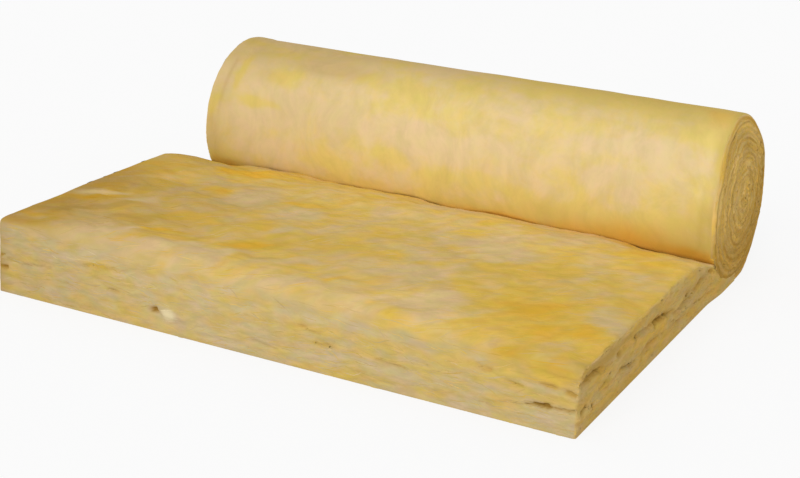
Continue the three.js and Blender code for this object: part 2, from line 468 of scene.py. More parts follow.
def marks_at(along, height, marks):
    """How deep the marks go at points (along, height) of a cut face."""
    spot = np.stack([along, height], axis=1)
    flat = np.stack([along, height, 0 * along], axis=1)
    spot[:, 0] += pile(flat, 70, WANDER_ALONG)
    spot[:, 1] += pile(flat, 71, WANDER_UP)
    depth = np.zeros(len(spot))
    for line, half_width, pit in marks:
        nearest = np.full(len(spot), np.inf)
        for start, stop in zip(line[:-1], line[1:]):
            start, way = np.array(start), np.subtract(stop, start)
            share = np.clip((spot - start) @ way / (way @ way), 0, 1)
            nearest = np.minimum(nearest, np.linalg.norm(spot - start - share[:, None] * way, axis=1))
        depth += pit * np.exp(-((nearest / half_width) ** 2))
    return depth


print("marks on the free end:", len(FRONT_MARKS), "on the right side:", len(SIDE_MARKS))

# %% [markdown]
# The top is fluff: broad swells and small tufts, all longer across the blanket than along it, as
# the fibres were laid. The cut faces are layered, with layers that rise and fall together, and their
# clumps are long and low. A sculpting brush could pull such lumps out one by one; piles of noise do
# it everywhere at once, and the same on every run.

# %% Layers and fluff
LAYER_WANDER = ((0.007, cloud, (0.22, 0.22, 0.06)),)
LAYERS = (
    (0.0018, cloud, (0.120, 0.120, 0.030)), (0.0013, billow, (0.045, 0.045, 0.016)),
    (0.0007, billow, (0.018, 0.018, 0.008)), (0.0003, cloud, (0.008, 0.008, 0.004)),
)
FLUFF = (
    (0.0040, cloud, (0.240, 0.200, 1)), (0.0026, cloud, (0.090, 0.070, 1)),
    (0.0015, cloud, (0.044, 0.028, 1)), (0.0008, cloud, (0.020, 0.013, 1)),
)
CLUMPS = (0.0030, cloud, (1, 0.050, 0.014)), (0.0014, billow, (1, 0.022, 0.007))


def layered(points):
    """How far layered, fibrous wool stands out on a cut face."""
    wander = pile(points, 20, LAYER_WANDER)
    return pile(points + np.stack([0 * wander, 0 * wander, wander], axis=1), 21, LAYERS)


def facing(normals):
    """Masks for the top, the free end and the two cut sides."""
    top = ramp(normals[:, 2], 0.30, 0.85)
    end = ramp(-normals[:, 1], 0.72, 0.97)
    sides = ramp(np.abs(normals[:, 0]), 0.50, 0.90)
    return top, end, sides


facing_up = facing(np.array([[0, 0, 1.0]]))
print("top, end and sides of a point that faces up:", [float(mask[0].round(2)) for mask in facing_up])

# %% [markdown]
# On the two cut sides the layers have parted along two wandering lines, and the wool under such a
# line stands proud of the wool above it. Each line is a table of (distance from the free end,
# height) pairs. An edge loop could be slid along the side and pushed in, but the mesh would have to
# follow the line; here the points stay in their rows, and those just above the line step back.

# %% Ledges of the cut sides
UPPER_LEDGE = (
    (0, 0.084), (0.06, 0.088), (0.15, 0.076), (0.24, 0.082), (0.39, 0.071), (0.53, 0.048), (0.7, 0.07),
)
LOWER_LEDGE = (
    (0, 0.047), (0.06, 0.050), (0.11, 0.036), (0.2, 0.042), (0.3, 0.030), (0.4, 0.037), (0.6, 0.02),
)
LEDGES = (UPPER_LEDGE, 0.0110, 0.016), (LOWER_LEDGE, 0.0070, 0.009)


def ledge(above, reach):
    """A layer that starts set back at its foot and comes out again over its reach."""
    return ramp(above, -0.002, 0.002) * np.exp(-np.maximum(above, 0) / reach)


def ledges_at(points, run, z):
    """How far the points of a cut side are set back, more in some places than in others."""
    depths = sum(depth * ledge(z - waves(run, *line), reach) for line, depth, reach in LEDGES)
    return depths * (0.8 + 0.8 * cloud(points, (1, 0.07, 0.05), 31))


one_spot = np.array([[SIDE, FREE_END + 0.30, 0.085]])
set_back = ledges_at(one_spot, np.array([0.30]), one_spot[:, 2])[0] * 1000
print("a spot 300 mm back and 85 mm up is set back by", round(float(set_back), 1), "mm")

# %% [markdown]
# Now all of it moves the loose part's points, each along the plain shape's own direction outward. A
# cloth simulation would smooth all this away, so the wool is shaped by these moves alone. Where a
# line was looked up at a few places, it is a table of (place, height) pairs again: the top's ridge
# behind the free end, the top edge on either side, and how far the wool leans out at the roll's
# right end. The lumps fade out at the floor and under the roll, where wool is pressed flat.

# %% Lumps of the loose part
RIDGE_ALONG = ((0, 0), (0.075, 0.006), (0.17, -0.004), (0.30, 0))
RIDGE_ACROSS = ((-0.6, 0), (-0.3, 1), (0, 0.7), (0.3, 0), (0.6, 0))
RIGHT_EDGE = ((0, 0.003), (0.075, -0.006), (0.143, 0.003), (0.231, 0), (0.328, -0.006), (0.444, 0.001))
LEFT_EDGE = ((0, 0), (0.15, 0.001), (0.30, 0.004), (0.60, 0.005), (0.74, 0), (0.88, 0))
RIGHT_LEAN = ((0, 0.006), (0.10, 0.004), (0.24, 0), (0.335, -0.012), (0.36, -0.020))
LEFT_FOOT_OUT = 0.006
LEFT_MARKS_LOWER = 0.022
DEEP_PIT = 0.010
OFF_FLOOR = 0.0005, 0.010
UNDER_ROLL = 0.70, 0.78


def lump_loose(points, normals):
    """The loose part's points with their lumps, and how deep each lies in a pit."""
    top, end, sides = facing(normals)
    x, run, z = points[:, 0], points[:, 1] - FREE_END, points[:, 2]
    hidden_fade = 1 - ramp(run, *UNDER_ROLL)

    front_pits = marks_at(x, z, FRONT_MARKS) * end
    side_pits = marks_at(run, z, SIDE_MARKS) * sides * (x > 0)
    side_pits += marks_at(run, z + LEFT_MARKS_LOWER, SIDE_MARKS) * sides * (x < 0)
    ledges = ledges_at(points, run, z) * sides * ramp(run, 0.004, 0.02)

    left_fade = ramp(x, -SIDE, -SIDE + 0.10) * 0.9 + 0.1
    fluffed = 1 + 0.9 * ramp(-x, 0, 0.35)
    fluff = pile(points * (1, 1, 0), 40, FLUFF) * top * hidden_fade * left_fade * fluffed
    out = layered(points) * np.maximum(end, sides) + fluff
    out += (pile(points, 32, CLUMPS) * sides - ledges) * hidden_fade - front_pits - side_pits
    out += waves(run, *RIDGE_ALONG) * top * waves(x, *RIDGE_ACROSS)
    out += waves(run, *RIGHT_EDGE) * top * ramp(x, SIDE - 0.07, SIDE)
    out += waves(run, *LEFT_EDGE) * top * ramp(-x, 0.42, 0.58)
    corner = ramp(x, -SIDE, -SIDE + 0.02) + ramp(run, 0, 0.02)
    out *= ramp(z, *OFF_FLOOR) * np.minimum(1, 0.15 + corner)
    moved = points + normals * out[:, None]
    moved[:, 0] += waves(z, *RIGHT_LEAN) * ramp(run, 0.70, 0.80) * ramp(x, SIDE - 0.12, SIDE)
    moved[:, 0] -= LEFT_FOOT_OUT * (1 - ramp(z, 0, 0.14)) * ramp(-x, SIDE - 0.12, SIDE)
    moved[:, 2] = np.maximum(moved[:, 2], 0)
    return moved, np.clip((front_pits + side_pits) / DEEP_PIT, 0, 1)


loose_normals = normals_of(loose_points, quads_of_all(loose_nets.values()))
lumped_points, loose_pits = lump_loose(loose_points, loose_normals)
tallest = (lumped_points - loose_points)[:, 2].max() * 1000
print("tallest lump stands out", round(float(tallest), 1), "mm")

# %% [markdown]
# A mesh is made from the points and faces. A modifier could smooth it, but the grids are already
# fine, so it is only shaded smooth, with a crease wherever two faces meet at more than 65 degrees,
# or 40 along the seams of the roll, which would look blurred without it. Strands are lit as the wool
# under them is, so that they show as streaks of colour and not as ribs.
#
# Three kinds of surface share one finish, so every point carries masks for it, three numbers to a
# name. "kinds" says how much it is skin, fluff or cut wool. "tints" says how much gold, cream and
# dull brown it has; the dull brown is partly painted shade in pits, slits and the crease, and the
# skin's gold along the crease is painted warm light. "casts" says how far it is cut sideways, which
# paints warm light on it, and how far it is painted shaded or glowing. "unrolled" is its place on
# the unrolled blanket, across, along and up through the thickness, so that streaks follow the wool
# round the roll and in along its turns.

# %% From points to a piece
SHARP_EDGE = 65
SHARP_SEAM = 40


def make_piece(name, points, faces, masks, sharp=SHARP_EDGE, lit_by=None):
    """A smooth-shaded mesh that rides with the blanket, lit by its own slopes or by given ones."""
    used = np.unique(np.concatenate([np.ravel(face) for face in faces]))
    renumbered = np.full(len(points), -1)
    renumbered[used] = np.arange(len(used))
    mesh = bpy.data.meshes.new(name)
    mesh.from_pydata(points[used].tolist(), [], [renumbered[face].tolist() for face in faces])
    mesh.shade_smooth()
    if lit_by is None:
        mesh.set_sharp_from_angle(angle=math.radians(sharp))
    else:
        mesh.normals_split_custom_set_from_vertices(lit_by[used].tolist())
    for label, values in masks.items():
        attribute = mesh.attributes.new(label, "FLOAT_VECTOR", "POINT")
        attribute.data.foreach_set("vector", values[used].astype(np.float32).ravel())
    piece = bpy.data.objects.new(name, mesh)
    bpy.context.scene.collection.objects.link(piece)
    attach(piece, "root")
    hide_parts("wool_blanket")
    mesh.calc_loop_triangles()
    print(name, "has", len(mesh.loop_triangles), "triangles")
    return piece


print("edges are sharp from", SHARP_EDGE, "degrees, and on the seams from", SHARP_SEAM)

# %% [markdown]
# The binder is spread unevenly through the wool, so some patches are deep gold and others nearly
# cream. Noise alone would spread them evenly, so the larger ones are placed one by one, and noise
# breaks them up later. Each is a soft oval: its place across, its place along or up, half its
# length, half its width, and its strength. They could be painted on as vertex colours, but a row of
# numbers is easier to move, and it doesn't depend on how fine the mesh is.

# %% Soft ovals
def spots(x, run, places, lean=0):
    """Soft patches, each (x, along, half length, half width, strength), all leaning by some degrees."""
    cos, sin = math.cos(math.radians(lean)), math.sin(math.radians(lean))
    total = np.zeros(len(x))
    for place_x, place_run, long, wide, strength in places:
        aside, ahead = x - place_x, run - place_run
        far_long = (aside * cos + ahead * sin) / long
        far_wide = (ahead * cos - aside * sin) / wide
        total += strength * np.exp(-(far_long**2) - far_wide**2)
    return total


strength = spots(np.array([0.0, 0.1]), np.zeros(2), [(0, 0, 0.1, 0.05, 1)])
print("strength in the middle of an oval and at its end:", strength.round(2))

# %% [markdown]
# The loose part has three sets of ovals: on the top, on the free end and on the right side, which
# the left side shares. The ovals of the top all lean the same way, as the fibres do. The first four
# dull ovals of the top lie in a band behind the free end's ridge: duller wool, and painted shade of
# the hollow there. The dull ovals of the free end and the sides are mostly painted shade, in slits
# and below the side's top edge.

# %% Patches of the loose part
GOLD_ON_TOP = (
    (0.43, 0.2, 0.07, 0.045, 0.9), (0.5, 0.13, 0.085, 0.05, 1), (0.364, 0.25, 0.05, 0.03, 0.5),
    (-0.566, 0.056, 0.035, 0.024, 0.6), (-0.536, 0.21, 0.04, 0.012, 0.8), (-0.33, 0.05, 0.06, 0.016, 0.6),
    (-0.33, 0.132, 0.05, 0.022, 1.2), (-0.371, 0.416, 0.04, 0.024, 0.9), (-0.18, 0.435, 0.05, 0.024, 0.8),
    (-0.13, 0.176, 0.05, 0.022, 0.9), (-0.36, 0.6, 0.12, 0.05, 0.7), (-0.54, 0.45, 0.06, 0.08, 0.7),
    (0, 0.155, 0.05, 0.02, 0.1), (0.085, 0.128, 0.06, 0.022, 0.8), (0.019, 0.394, 0.05, 0.035, 0.5),
    (0.087, 0.239, 0.05, 0.032, 0.5), (0.56, 0.02, 0.06, 0.03, 0.6), (0.441, 0, 0.06, 0.024, 1.2),
    (0.174, 0.282, 0.06, 0.02, 0.6), (0.48, 0.619, 0.05, 0.03, 0.7), (0.532, 0.557, 0.04, 0.03, 0.7),
    (-0.5, 0.64, 0.06, 0.034, 1.2), (-0.417, 0.56, 0.05, 0.028, 0.9), (0.56, 0.33, 0.09, 0.08, 0.4),
)
CREAM_ON_TOP = (
    (0.193, 0.473, 0.06, 0.04, 0.8), (0.197, 0.265, 0.07, 0.03, 0.4), (0.235, 0.105, 0.08, 0.03, 1.2),
    (0.3, 0.067, 0.06, 0.022, 0.7), (0.26, 0.44, 0.06, 0.03, 0.6), (-0.045, 0.156, 0.06, 0.02, 0.7),
    (-0.506, 0.408, 0.04, 0.02, 0.9), (-0.153, 0.379, 0.06, 0.04, 0.6), (0.56, 0.22, 0.035, 0.06, 0.7),
    (0.03, 0.078, 0.11, 0.024, 0.7), (-0.545, 0.24, 0.05, 0.014, 1.9), (-0.56, 0.06, 0.04, 0.02, 0.8),
    (-0.454, 0.243, 0.034, 0.012, 1.3), (-0.365, 0.1, 0.06, 0.018, 0.9), (-0.25, 0.082, 0.07, 0.022, 1),
    (-0.173, 0.1, 0.05, 0.016, 1.1), (-0.304, 0.404, 0.05, 0.03, 0.7), (-0.211, 0.222, 0.06, 0.02, 0.2),
    (-0.421, 0.025, 0.06, 0.03, 0.9), (-0.217, 0.02, 0.08, 0.02, 0.8), (-0.13, 0.272, 0.05, 0.02, 1.2),
)
# The first four: a band behind the ridge, duller wool and painted shade of the hollow there.
DULL_AND_SHADE_ON_TOP = (
    (-0.49, 0.172, 0.07, 0.014, 2.2), (-0.4, 0.16, 0.06, 0.016, 1), (-0.238, 0.14, 0.05, 0.012, 0.7),
    (-0.1, 0.128, 0.05, 0.01, 1), (-0.106, 0.25, 0.06, 0.02, 0.7), (-0.22, 0.245, 0.06, 0.02, 0.4),
    (-0.48, 0.33, 0.09, 0.03, 0.4), (0.54, 0.52, 0.03, 0.06, 0.7), (0.02, 0.23, 0.06, 0.04, 0.4),
    (-0.45, 0.48, 0.1, 0.06, 0.2),
)
GOLD_ON_FRONT = (
    (-0.375, 0.1, 0.035, 0.006, 0.8), (-0.242, 0.112, 0.022, 0.007, 0.9), (-0.228, 0.124, 0.02, 0.006, 1.1),
    (-0.128, 0.117, 0.03, 0.006, 0.8), (0.1, 0.078, 0.045, 0.007, 0.7), (0.121, 0.055, 0.035, 0.006, 0.7),
    (0.426, 0.088, 0.06, 0.01, 0.8), (0.442, 0.118, 0.05, 0.014, 2.2), (0.549, 0.104, 0.05, 0.016, 2.2),
    (0.54, 0.062, 0.06, 0.012, 0.8), (0.492, 0.071, 0.03, 0.006, 0.8), (0.56, 0.085, 0.05, 0.014, 0.7),
    (-0.02, 0.09, 0.06, 0.012, 0.4), (0.25, 0.06, 0.08, 0.01, 0.4), (-0.33, 0.015, 0.06, 0.008, 0.4),
)
CREAM_ON_FRONT = (
    (-0.199, 0.04, 0.024, 0.016, 1.7), (-0.45, 0.105, 0.11, 0.022, 0.7), (-0.3, 0.13, 0.16, 0.022, 0.7),
    (-0.56, 0.06, 0.08, 0.03, 0.6), (-0.1, 0.02, 0.12, 0.012, 0.5), (0.3, 0.03, 0.2, 0.01, 0.4),
    (0.555, 0.015, 0.05, 0.012, 0.7),
)
# Painted shade in the slits at both ends of the free end, and two duller brown patches.
SHADE_AND_DULL_ON_FRONT = (
    (0.552, 0.086, 0.016, 0.006, 0.6), (0.59, 0.078, 0.014, 0.006, 0.6), (0.442, 0.118, 0.04, 0.01, 0.25),
    (0.549, 0.106, 0.04, 0.012, 0.2), (-0.6, 0.063, 0.01, 0.024, 0.9),
)
GOLD_ON_SIDE = (
    (0.34, 0.058, 0.06, 0.01, 1), (0.412, 0.05, 0.03, 0.014, 1), (0.11, 0.078, 0.025, 0.008, 0.5),
    (0.3, 0.095, 0.02, 0.01, 0.4), (0.37, 0.02, 0.05, 0.01, 0.6), (0.06, 0.02, 0.05, 0.01, 0.5),
)
CREAM_ON_SIDE = (
    (0.205, 0.06, 0.03, 0.012, 0.8), (0.158, 0.04, 0.02, 0.01, 0.8), (0.25, 0.028, 0.03, 0.008, 0.6),
    (0.5, 0.085, 0.06, 0.015, 0.5),
)
# Painted shade below the side's top edge and in slits, and a little duller wool.
SHADE_AND_DULL_ON_SIDE = (
    (0.07, 0.098, 0.07, 0.014, 0.7), (0.15, 0.095, 0.04, 0.014, 0.8), (0.235, 0.099, 0.05, 0.01, 0.8),
    (0.193, 0.078, 0.01, 0.006, 0.5), (0.37, 0.105, 0.04, 0.01, 0.5), (0.25, 0.06, 0.015, 0.005, 0.5),
    (0.43, 0.072, 0.05, 0.006, 0.6), (0.566, 0.07, 0.015, 0.008, 0.5), (0.62, 0.08, 0.08, 0.03, 0.4),
)
GLOW_ON_TOP = (
    (0.21, 0.12, 0.1, 0.024, 1.1), (0.32, 0.08, 0.07, 0.02, 0.7), (-0.545, 0.24, 0.05, 0.014, 0.8),
    (0.26, 0.44, 0.07, 0.03, 0.6), (-0.36, 0.62, 0.08, 0.03, 0.5), (-0.48, 0.44, 0.08, 0.03, 0.5),
    (-0.1, 0.2, 0.16, 0.03, -0.5), (0.17, 0.635, 0.045, 0.035, 0.9), (0.56, 0, 0.085, 0.045, -1.2),
    (0.445, 0, 0.07, 0.036, -1.2),
)
GLOW_ON_FRONT = (
    (0.56, 0.106, 0.06, 0.012, -1.3), (0.45, 0.118, 0.06, 0.012, -1.2),
)
TOP_PATCHES = GOLD_ON_TOP, CREAM_ON_TOP, DULL_AND_SHADE_ON_TOP
FRONT_PATCHES = GOLD_ON_FRONT, CREAM_ON_FRONT, SHADE_AND_DULL_ON_FRONT
SIDE_PATCHES = GOLD_ON_SIDE, CREAM_ON_SIDE, SHADE_AND_DULL_ON_SIDE
TOP_LEAN = 42
print("patches on the top:", [len(patches) for patches in TOP_PATCHES], "gold, cream and dull")

# %% [markdown]
# Shade and glow are spread more broadly. The top is darker and browner towards its far left, and
# the free end towards its left. The wool is brightest where it swells over the free end and where
# it rises to the crease, because light passes through thin raised fluff. Subsurface scattering
# could show that, but it is slow and blurs the fine streaks, so the places that glow are simply a
# little brighter in colour.

# %% Shade and glow of the loose part
BROW_BEFORE = 0.020
BROW_WIDTH = 0.022
BROW_GLOW = 1.1


def shade_of(x, run, top, nose):
    """How far the wool is darker and browner: most along the left edge of the top."""
    left = 0.42 * ramp(-x, 0.05, 0.42)
    left += 0.55 * ramp(-x, 0.44, 0.60) * (1 - 0.6 * ramp(run, 0.30, 0.60))
    left *= 1 - 0.4 * ramp(run, 0.30, 0.55)
    front = 0.22 * ramp(-x, 0.20, 0.55) + 0.30 * ramp(-x, 0.56, 0.60)
    return left * top * (1 - nose) + front * nose


def glow_of(x, run, top, nose):
    """How far the wool is brighter: on the swell over the free end, and on the brow at the crease."""
    swell = 0.5 * waves(run, (0, 1), (0.10, 0.8), (0.20, 0), (1, 0)) * (1 - nose)
    swell *= 1 - ramp(-x, 0.35, 0.55)
    rise = waves(run, (0, 0), (0.40, 0), (0.56, 0.9), (LOOSE_LENGTH, 1), (1, 1))
    rise *= 1 - ramp(-x, 0.35, 0.50)
    from_brow = crease_turns(x)[1] - run - BROW_BEFORE
    brow = BROW_GLOW * np.exp(-((from_brow / BROW_WIDTH) ** 2))
    brow *= ramp(x, -0.42, -0.30) * (1 - ramp(x, 0.30, 0.48))
    return (swell + rise + brow + spots(x, run, GLOW_ON_TOP, TOP_LEAN) * (1 - nose)) * top


on_top = np.array([0.60]), np.ones(1), np.zeros(1)
print("shade of the top at the left:", shade_of(np.array([-0.55]), *on_top).round(2))
print("glow before the crease:", glow_of(np.array([0.0]), *on_top).round(2))

# %% [markdown]
# With its masks worked out, the loose part becomes a piece. The torn edge between the top and the
# cut faces is a mask with noise in it, so that one kind of wool frays into the other. Pits, and the
# last millimetres before the crease, get painted shade: their colour is duller, and deep pits are
# darker too. The underside can't be seen, so its net is left out and one flat face closes it.

# %% The loose part
PAINTED_CREASE_RUN = 0.0025
PAINTED_CREASE_SHADE = 1.2


def tints_of(along, height, patches, lean=0):
    """The gold, cream and dull of one face, a row of each."""
    return np.array([spots(along, height, places, lean) for places in patches])


def masks_of_loose():
    """What kind of wool each point of the loose part is, with its tints and casts."""
    sides = facing(loose_normals)[2]
    x, run, z = loose_points[:, 0], loose_points[:, 1] - FREE_END, loose_points[:, 2]
    skin = ramp(-loose_normals[:, 2], 0.5, 0.9)
    torn = 0.16 * cloud(loose_points, (0.05, 0.05, 0.012), 50)
    nose = ramp(-loose_normals[:, 1] + torn, 0.35, 0.80)
    cut = np.maximum(nose, sides) * (1 - skin)
    kinds = np.stack([skin, 1 - np.maximum(cut, skin), cut], axis=1)
    spot_x = x + 0.030 * cloud(loose_points, (0.060, 0.060, 0.5), 51)
    spot_run = run + 0.020 * cloud(loose_points, (0.050, 0.040, 0.5), 52)
    tints = tints_of(spot_x, spot_run, TOP_PATCHES, TOP_LEAN) * (1 - nose)
    tints += tints_of(x, z, FRONT_PATCHES) * nose
    tints = np.where(sides > 0.5, tints_of(run, z, SIDE_PATCHES), tints).T
    before = np.maximum(crease_turns(x)[1] - run, 0)
    # Painted shade: pits and the crease's last millimetres turn duller, and deep pits darker.
    tints[:, 2] += loose_pits + PAINTED_CREASE_SHADE * np.exp(-before / PAINTED_CREASE_RUN) * (1 - sides)
    shade = shade_of(x, run, 1 - sides, nose) + 0.9 * ramp(loose_pits, 0.45, 0.9)
    glow = glow_of(x, run, 1 - sides, nose) + spots(x, z, GLOW_ON_FRONT) * nose * (1 - sides)
    # The first cast paints warm light on the cut sides.
    casts = np.column_stack([0.8 * sides, shade, glow])
    unrolled = np.stack([x, run, z], axis=1)
    return {"unrolled": unrolled, "kinds": kinds, "tints": tints, "casts": casts}


def outline(net):
    """The edge of a net, as one face that turns the same way as its quads."""
    return np.concatenate([net[:-1, 0], net[-1, :-1], net[:0:-1, -1], net[0, :0:-1]])


seen_quads = quads_of_all(net for face, net in loose_nets.items() if face != "outer")
loose_masks = masks_of_loose()
loose_faces = [*seen_quads, outline(loose_nets["outer"])]
loose_wool = make_piece("loose_wool", lumped_points, loose_faces, loose_masks)

# %% [markdown]
# The finish is drawn on the unrolled blanket, so every point of the roll has to know how far from
# the free end it lay before it was wound up. That is the length of the line halfway between two
# seams. It could be worked out as a formula, but the seam has steps and is squashed, so the line is
# cut into short stretches, and these are added up. Turns are counted from the blanket's way in under
# the roll: the skin goes once round and tucks in at the crease at 1, and the eye lies at 9.95.

# %% The unrolled length
LAST_TURN = 9.95
UNROLLING_STEPS = 4000
ROWS_A_TURN = 180


def run_at(turns):
    """How far from the free end a number of turns round the roll lies on the unrolled blanket."""
    fine = np.linspace(UNDER_AXIS, LAST_TURN, UNROLLING_STEPS)
    lengths = np.linalg.norm(np.diff((seam(fine - 1) + seam(fine)) / 2, axis=0), axis=1)
    return np.interp(turns, fine, AXIS_Y - FREE_END + np.concatenate([[0], np.cumsum(lengths)]))


def turns_at(run):
    """How many turns round the roll a place on the unrolled blanket lies."""
    fine = np.linspace(UNDER_AXIS, LAST_TURN, UNROLLING_STEPS)
    return np.interp(run, run_at(fine), fine)


def rows_of_turns(start, stop, finer=1):
    """Numbers of turns whose rows stand one above the other from turn to turn."""
    count = round((stop - start) * ROWS_A_TURN * finer)
    return start + np.arange(count + 1) / ROWS_A_TURN / finer


print("the blanket is about", round(float(run_at(LAST_TURN)), 2), "m long")

# %% [markdown]
# The wound turns are bricks too. A point at some number of turns lies between the seam there and
# the seam one turn before, and how far in between is its share through the thickness. The two rims
# are rounded like cut edges, and each seam is a shallow groove on the roll's ends. A spiral could be
# swept along a curve, but then its rows would drift apart from turn to turn. Here every turn has the
# same 180 rows, so where two turns touch, their points match and no slit opens between them.

# %% Wound turns
SPRING_BACK = 2
SKIN_ROUND = 0.012
LEFT_ROUND = 0.005
GROOVE_WIDTH = 0.0036
GROOVE_DEPTH = 0.0006


def wound_plain(steps, turns, through, across):
    """Wound points before any lumps, and where each lies on the unrolled blanket."""
    at, share, x = turns[steps[:, 0]], through[steps[:, 1]], across[steps[:, 2]]
    outer, inner = seam(at - 1), seam(at)
    thick = np.linalg.norm(inner - outer, axis=1)
    under = ramp(-at, -0.30, -UNDER_AXIS)
    skin_round = np.where(x > 0, SKIN_ROUND + (GROOVE_WIDTH - SKIN_ROUND) * under, LEFT_ROUND)
    run = run_at(at)
    fluffed = 1 + 0.6 * cloud(np.stack([run, x, 0 * x], axis=1), (0.060, 1, 1), 69)
    outermost = at < 1
    side, depth = rounded(SIDE - np.abs(x), thick * share, skin_round, skin_round)
    side = np.where(outermost, side, SIDE - np.abs(x))
    depth = np.where(outermost, depth, thick * share)
    height = thick - depth
    groove = GROOVE_WIDTH * fluffed
    side += GROOVE_DEPTH * (np.exp(-height / groove) + np.exp(-depth / groove) * ~outermost)
    along = outer + (inner - outer) * (1 - height / thick)[:, None]
    points = np.column_stack([np.sign(x) * (SIDE - side), along])
    return points, np.stack([x, run, thick - height], axis=1), share


one_turn = wound_plain(brick(2, 2, 2)[0], np.array([1.0, 2.0]), np.array([0.0, 1.0]), ACROSS[[0, -1]])
around = float(one_turn[1][-1, 1] - one_turn[1][0, 1])
print("the first hidden turn is", round(around, 3), "m long")

# %% [markdown]
# The roll's ends are rough. The turns have slipped a millimetre or two along the roll, and that slip
# has to run on over the seams, or every seam would show as a step. Noise on the unrolled blanket
# would break off there, because two turns that touch lie far apart on it. So the noise is read by
# angle and depth, as rings, in which the outer side of one turn is the same place as the inner side
# of the turn before.

# %% Rings on the roll's ends
RING_SIZE = 0.10
SLIPS = (0.0014, cloud, (0.09, 0.09, 0.016)), (0.0008, cloud, (0.04, 0.04, 0.006))
TORN_ENDS = (0.0030, cloud, (1, 0.020, 0.020)), (0.0018, billow, (1, 0.011, 0.011))


def rings(run, share):
    """Places on a roll's end as angle and depth, which run on from turn to turn over the seams."""
    turns = turns_at(run)
    angle = 2 * math.pi * turns
    depth = TURN / RING_SIZE * (turns + share)
    return RING_SIZE * np.column_stack([np.cos(angle), np.sin(angle), depth])


def degrees_at(turns):
    """The angle of a number of turns round the roll's axis, in degrees."""
    return np.degrees(CREASE_ANGLE) + 360 * turns


print("angle of the crease:", round(float(degrees_at(1)), 1), "degrees")

# %% [markdown]
# The skin is the smooth face that lay on the belt. It only has slow swells, a lip with folds beside
# it near the left end, and a pinch where it dives into the crease. All three are small moves along
# the roll's own direction outward, so the skin stays one piece with the rest of its turn.

# %% Lumps of the skin
SWELLS = (0.0013, cloud, (0.160, 0.110, 1)), (0.0006, cloud, (0.060, 0.045, 1))
LIP = ((-0.6, 0.001), (-0.588, 0.0026), (-0.570, 0.0018), (-0.556, 0), (0.6, 0))
LIP_TOP = 95
LIP_SPAN = 25
FOLDS_ON_SKIN = (
    (-0.567, 135, 0.003, 28, 0.0012), (-0.583, 165, 0.0025, 20, 0.0009),
    (-0.549, 116, 0.003, 14, 0.0009), (-0.553, 178, 0.003, 14, 0.0007),
)
PINCH_DEPTH = (
    (-0.60, 0.004), (-0.50, 0.004), (-0.42, 0.001), (-0.32, 0.001), (-0.25, 0.003), (0.10, 0.0025),
    (0.40, 0.003), (0.60, 0.005),
)
PINCH_WIDTH = 0.006


def lump_skin(x, past, degrees, flat):
    """How far the skin stands out: slow swells, the lip with its folds, and less in the pinch."""
    wandering = x + 0.004 * cloud(flat, (0.3, 0.10, 1), 90)
    lip = waves(wandering, *LIP)
    over = np.exp(-(((degrees - LIP_TOP) / LIP_SPAN) ** 2))
    lip *= 0.5 + 1.1 * over + 0.4 * cloud(flat, (0.5, 0.16, 1), 68)
    lip -= spots(wandering, degrees, FOLDS_ON_SKIN)
    away = (past - crease_turns(x)[0] + 0.004) * 2 * math.pi * ROLL_RADIUS
    pinch = waves(x, *PINCH_DEPTH) * np.exp(-((away / PINCH_WIDTH) ** 2))
    pinch *= 1 + 0.7 * cloud(flat, (0.012, 1, 1), 67)
    return pile(flat, 61, SWELLS) + lip - pinch


print("the pinch is", waves(0.6, *PINCH_DEPTH) * 1000, "mm deep at the right end")

# %% [markdown]
# A wound piece takes both kinds of lumps: those of the skin on its smooth face and those of the
# rings on its two ends. Between them the rim frays over wider in some places than in others, so the
# slope from which it counts as an end changes with the angle. Both ends of the roll also lean, as a
# roll does that wasn't wound quite straight.

# %% Lumps of the wound turns
END_FROM = ((80, 0.65), (120, 0.60), (145, 0.28), (200, 0.20), (230, 0.35))
LEFT_LEAN = ((0, 0), (0.10, -0.004), (0.15, -0.005), (0.36, -0.005))


def lump_wound(points, normals, unrolled, share):
    """Wound points with slow swells on the skin and fibrous layers on the two ends."""
    x, run = unrolled[:, 0], unrolled[:, 1]
    past = turns_at(run) - 1
    degrees = degrees_at(turns_at(run))
    covered = (past > 0.02) | (share > 0.5)
    at_end = ramp(np.abs(points[:, 0]), SIDE - 0.004, SIDE - 0.0015)
    turned = np.clip((np.abs(normals[:, 0]) - waves(degrees, *END_FROM)) / 0.30, 0, 1)
    ends = np.where(covered, at_end, turned)
    skin = (1 - ends) * (share < 0.02) * (past < 0.05)
    out = lump_skin(x, past, degrees, unrolled * (1, 1, 0)) * skin
    moved = points + normals * (out * ramp(points[:, 2], 0.0005, 0.012))[:, None]

    free = np.sign(x) * (0.15 + 0.85 * ramp(past, -0.35, 0.30))
    free *= ramp(past + 1, UNDER_AXIS, UNDER_AXIS + 0.08)
    near_end = ramp(np.abs(points[:, 0]), SIDE - 0.010, SIDE - 0.001)
    lean = np.where(x > 0, waves(points[:, 2], *RIGHT_LEAN), waves(points[:, 2], *LEFT_LEAN))
    moved[:, 0] += pile(rings(run, share), 63, SLIPS) * free * ramp(np.abs(x), SIDE - 0.03, SIDE)
    moved[:, 0] += pile(points, 65, TORN_ENDS) * free * near_end
    moved[:, 0] += lean * ramp(np.abs(x), SIDE - 0.12, SIDE)
    moved[:, 2] = np.maximum(moved[:, 2], 0)
    return moved, ends, skin


leaning = [waves(height, *RIGHT_LEAN) * 1000 for height in (0.0, 0.35)]
print("the right end leans from", leaning[0].round(1), "to", leaning[1].round(1), "mm")
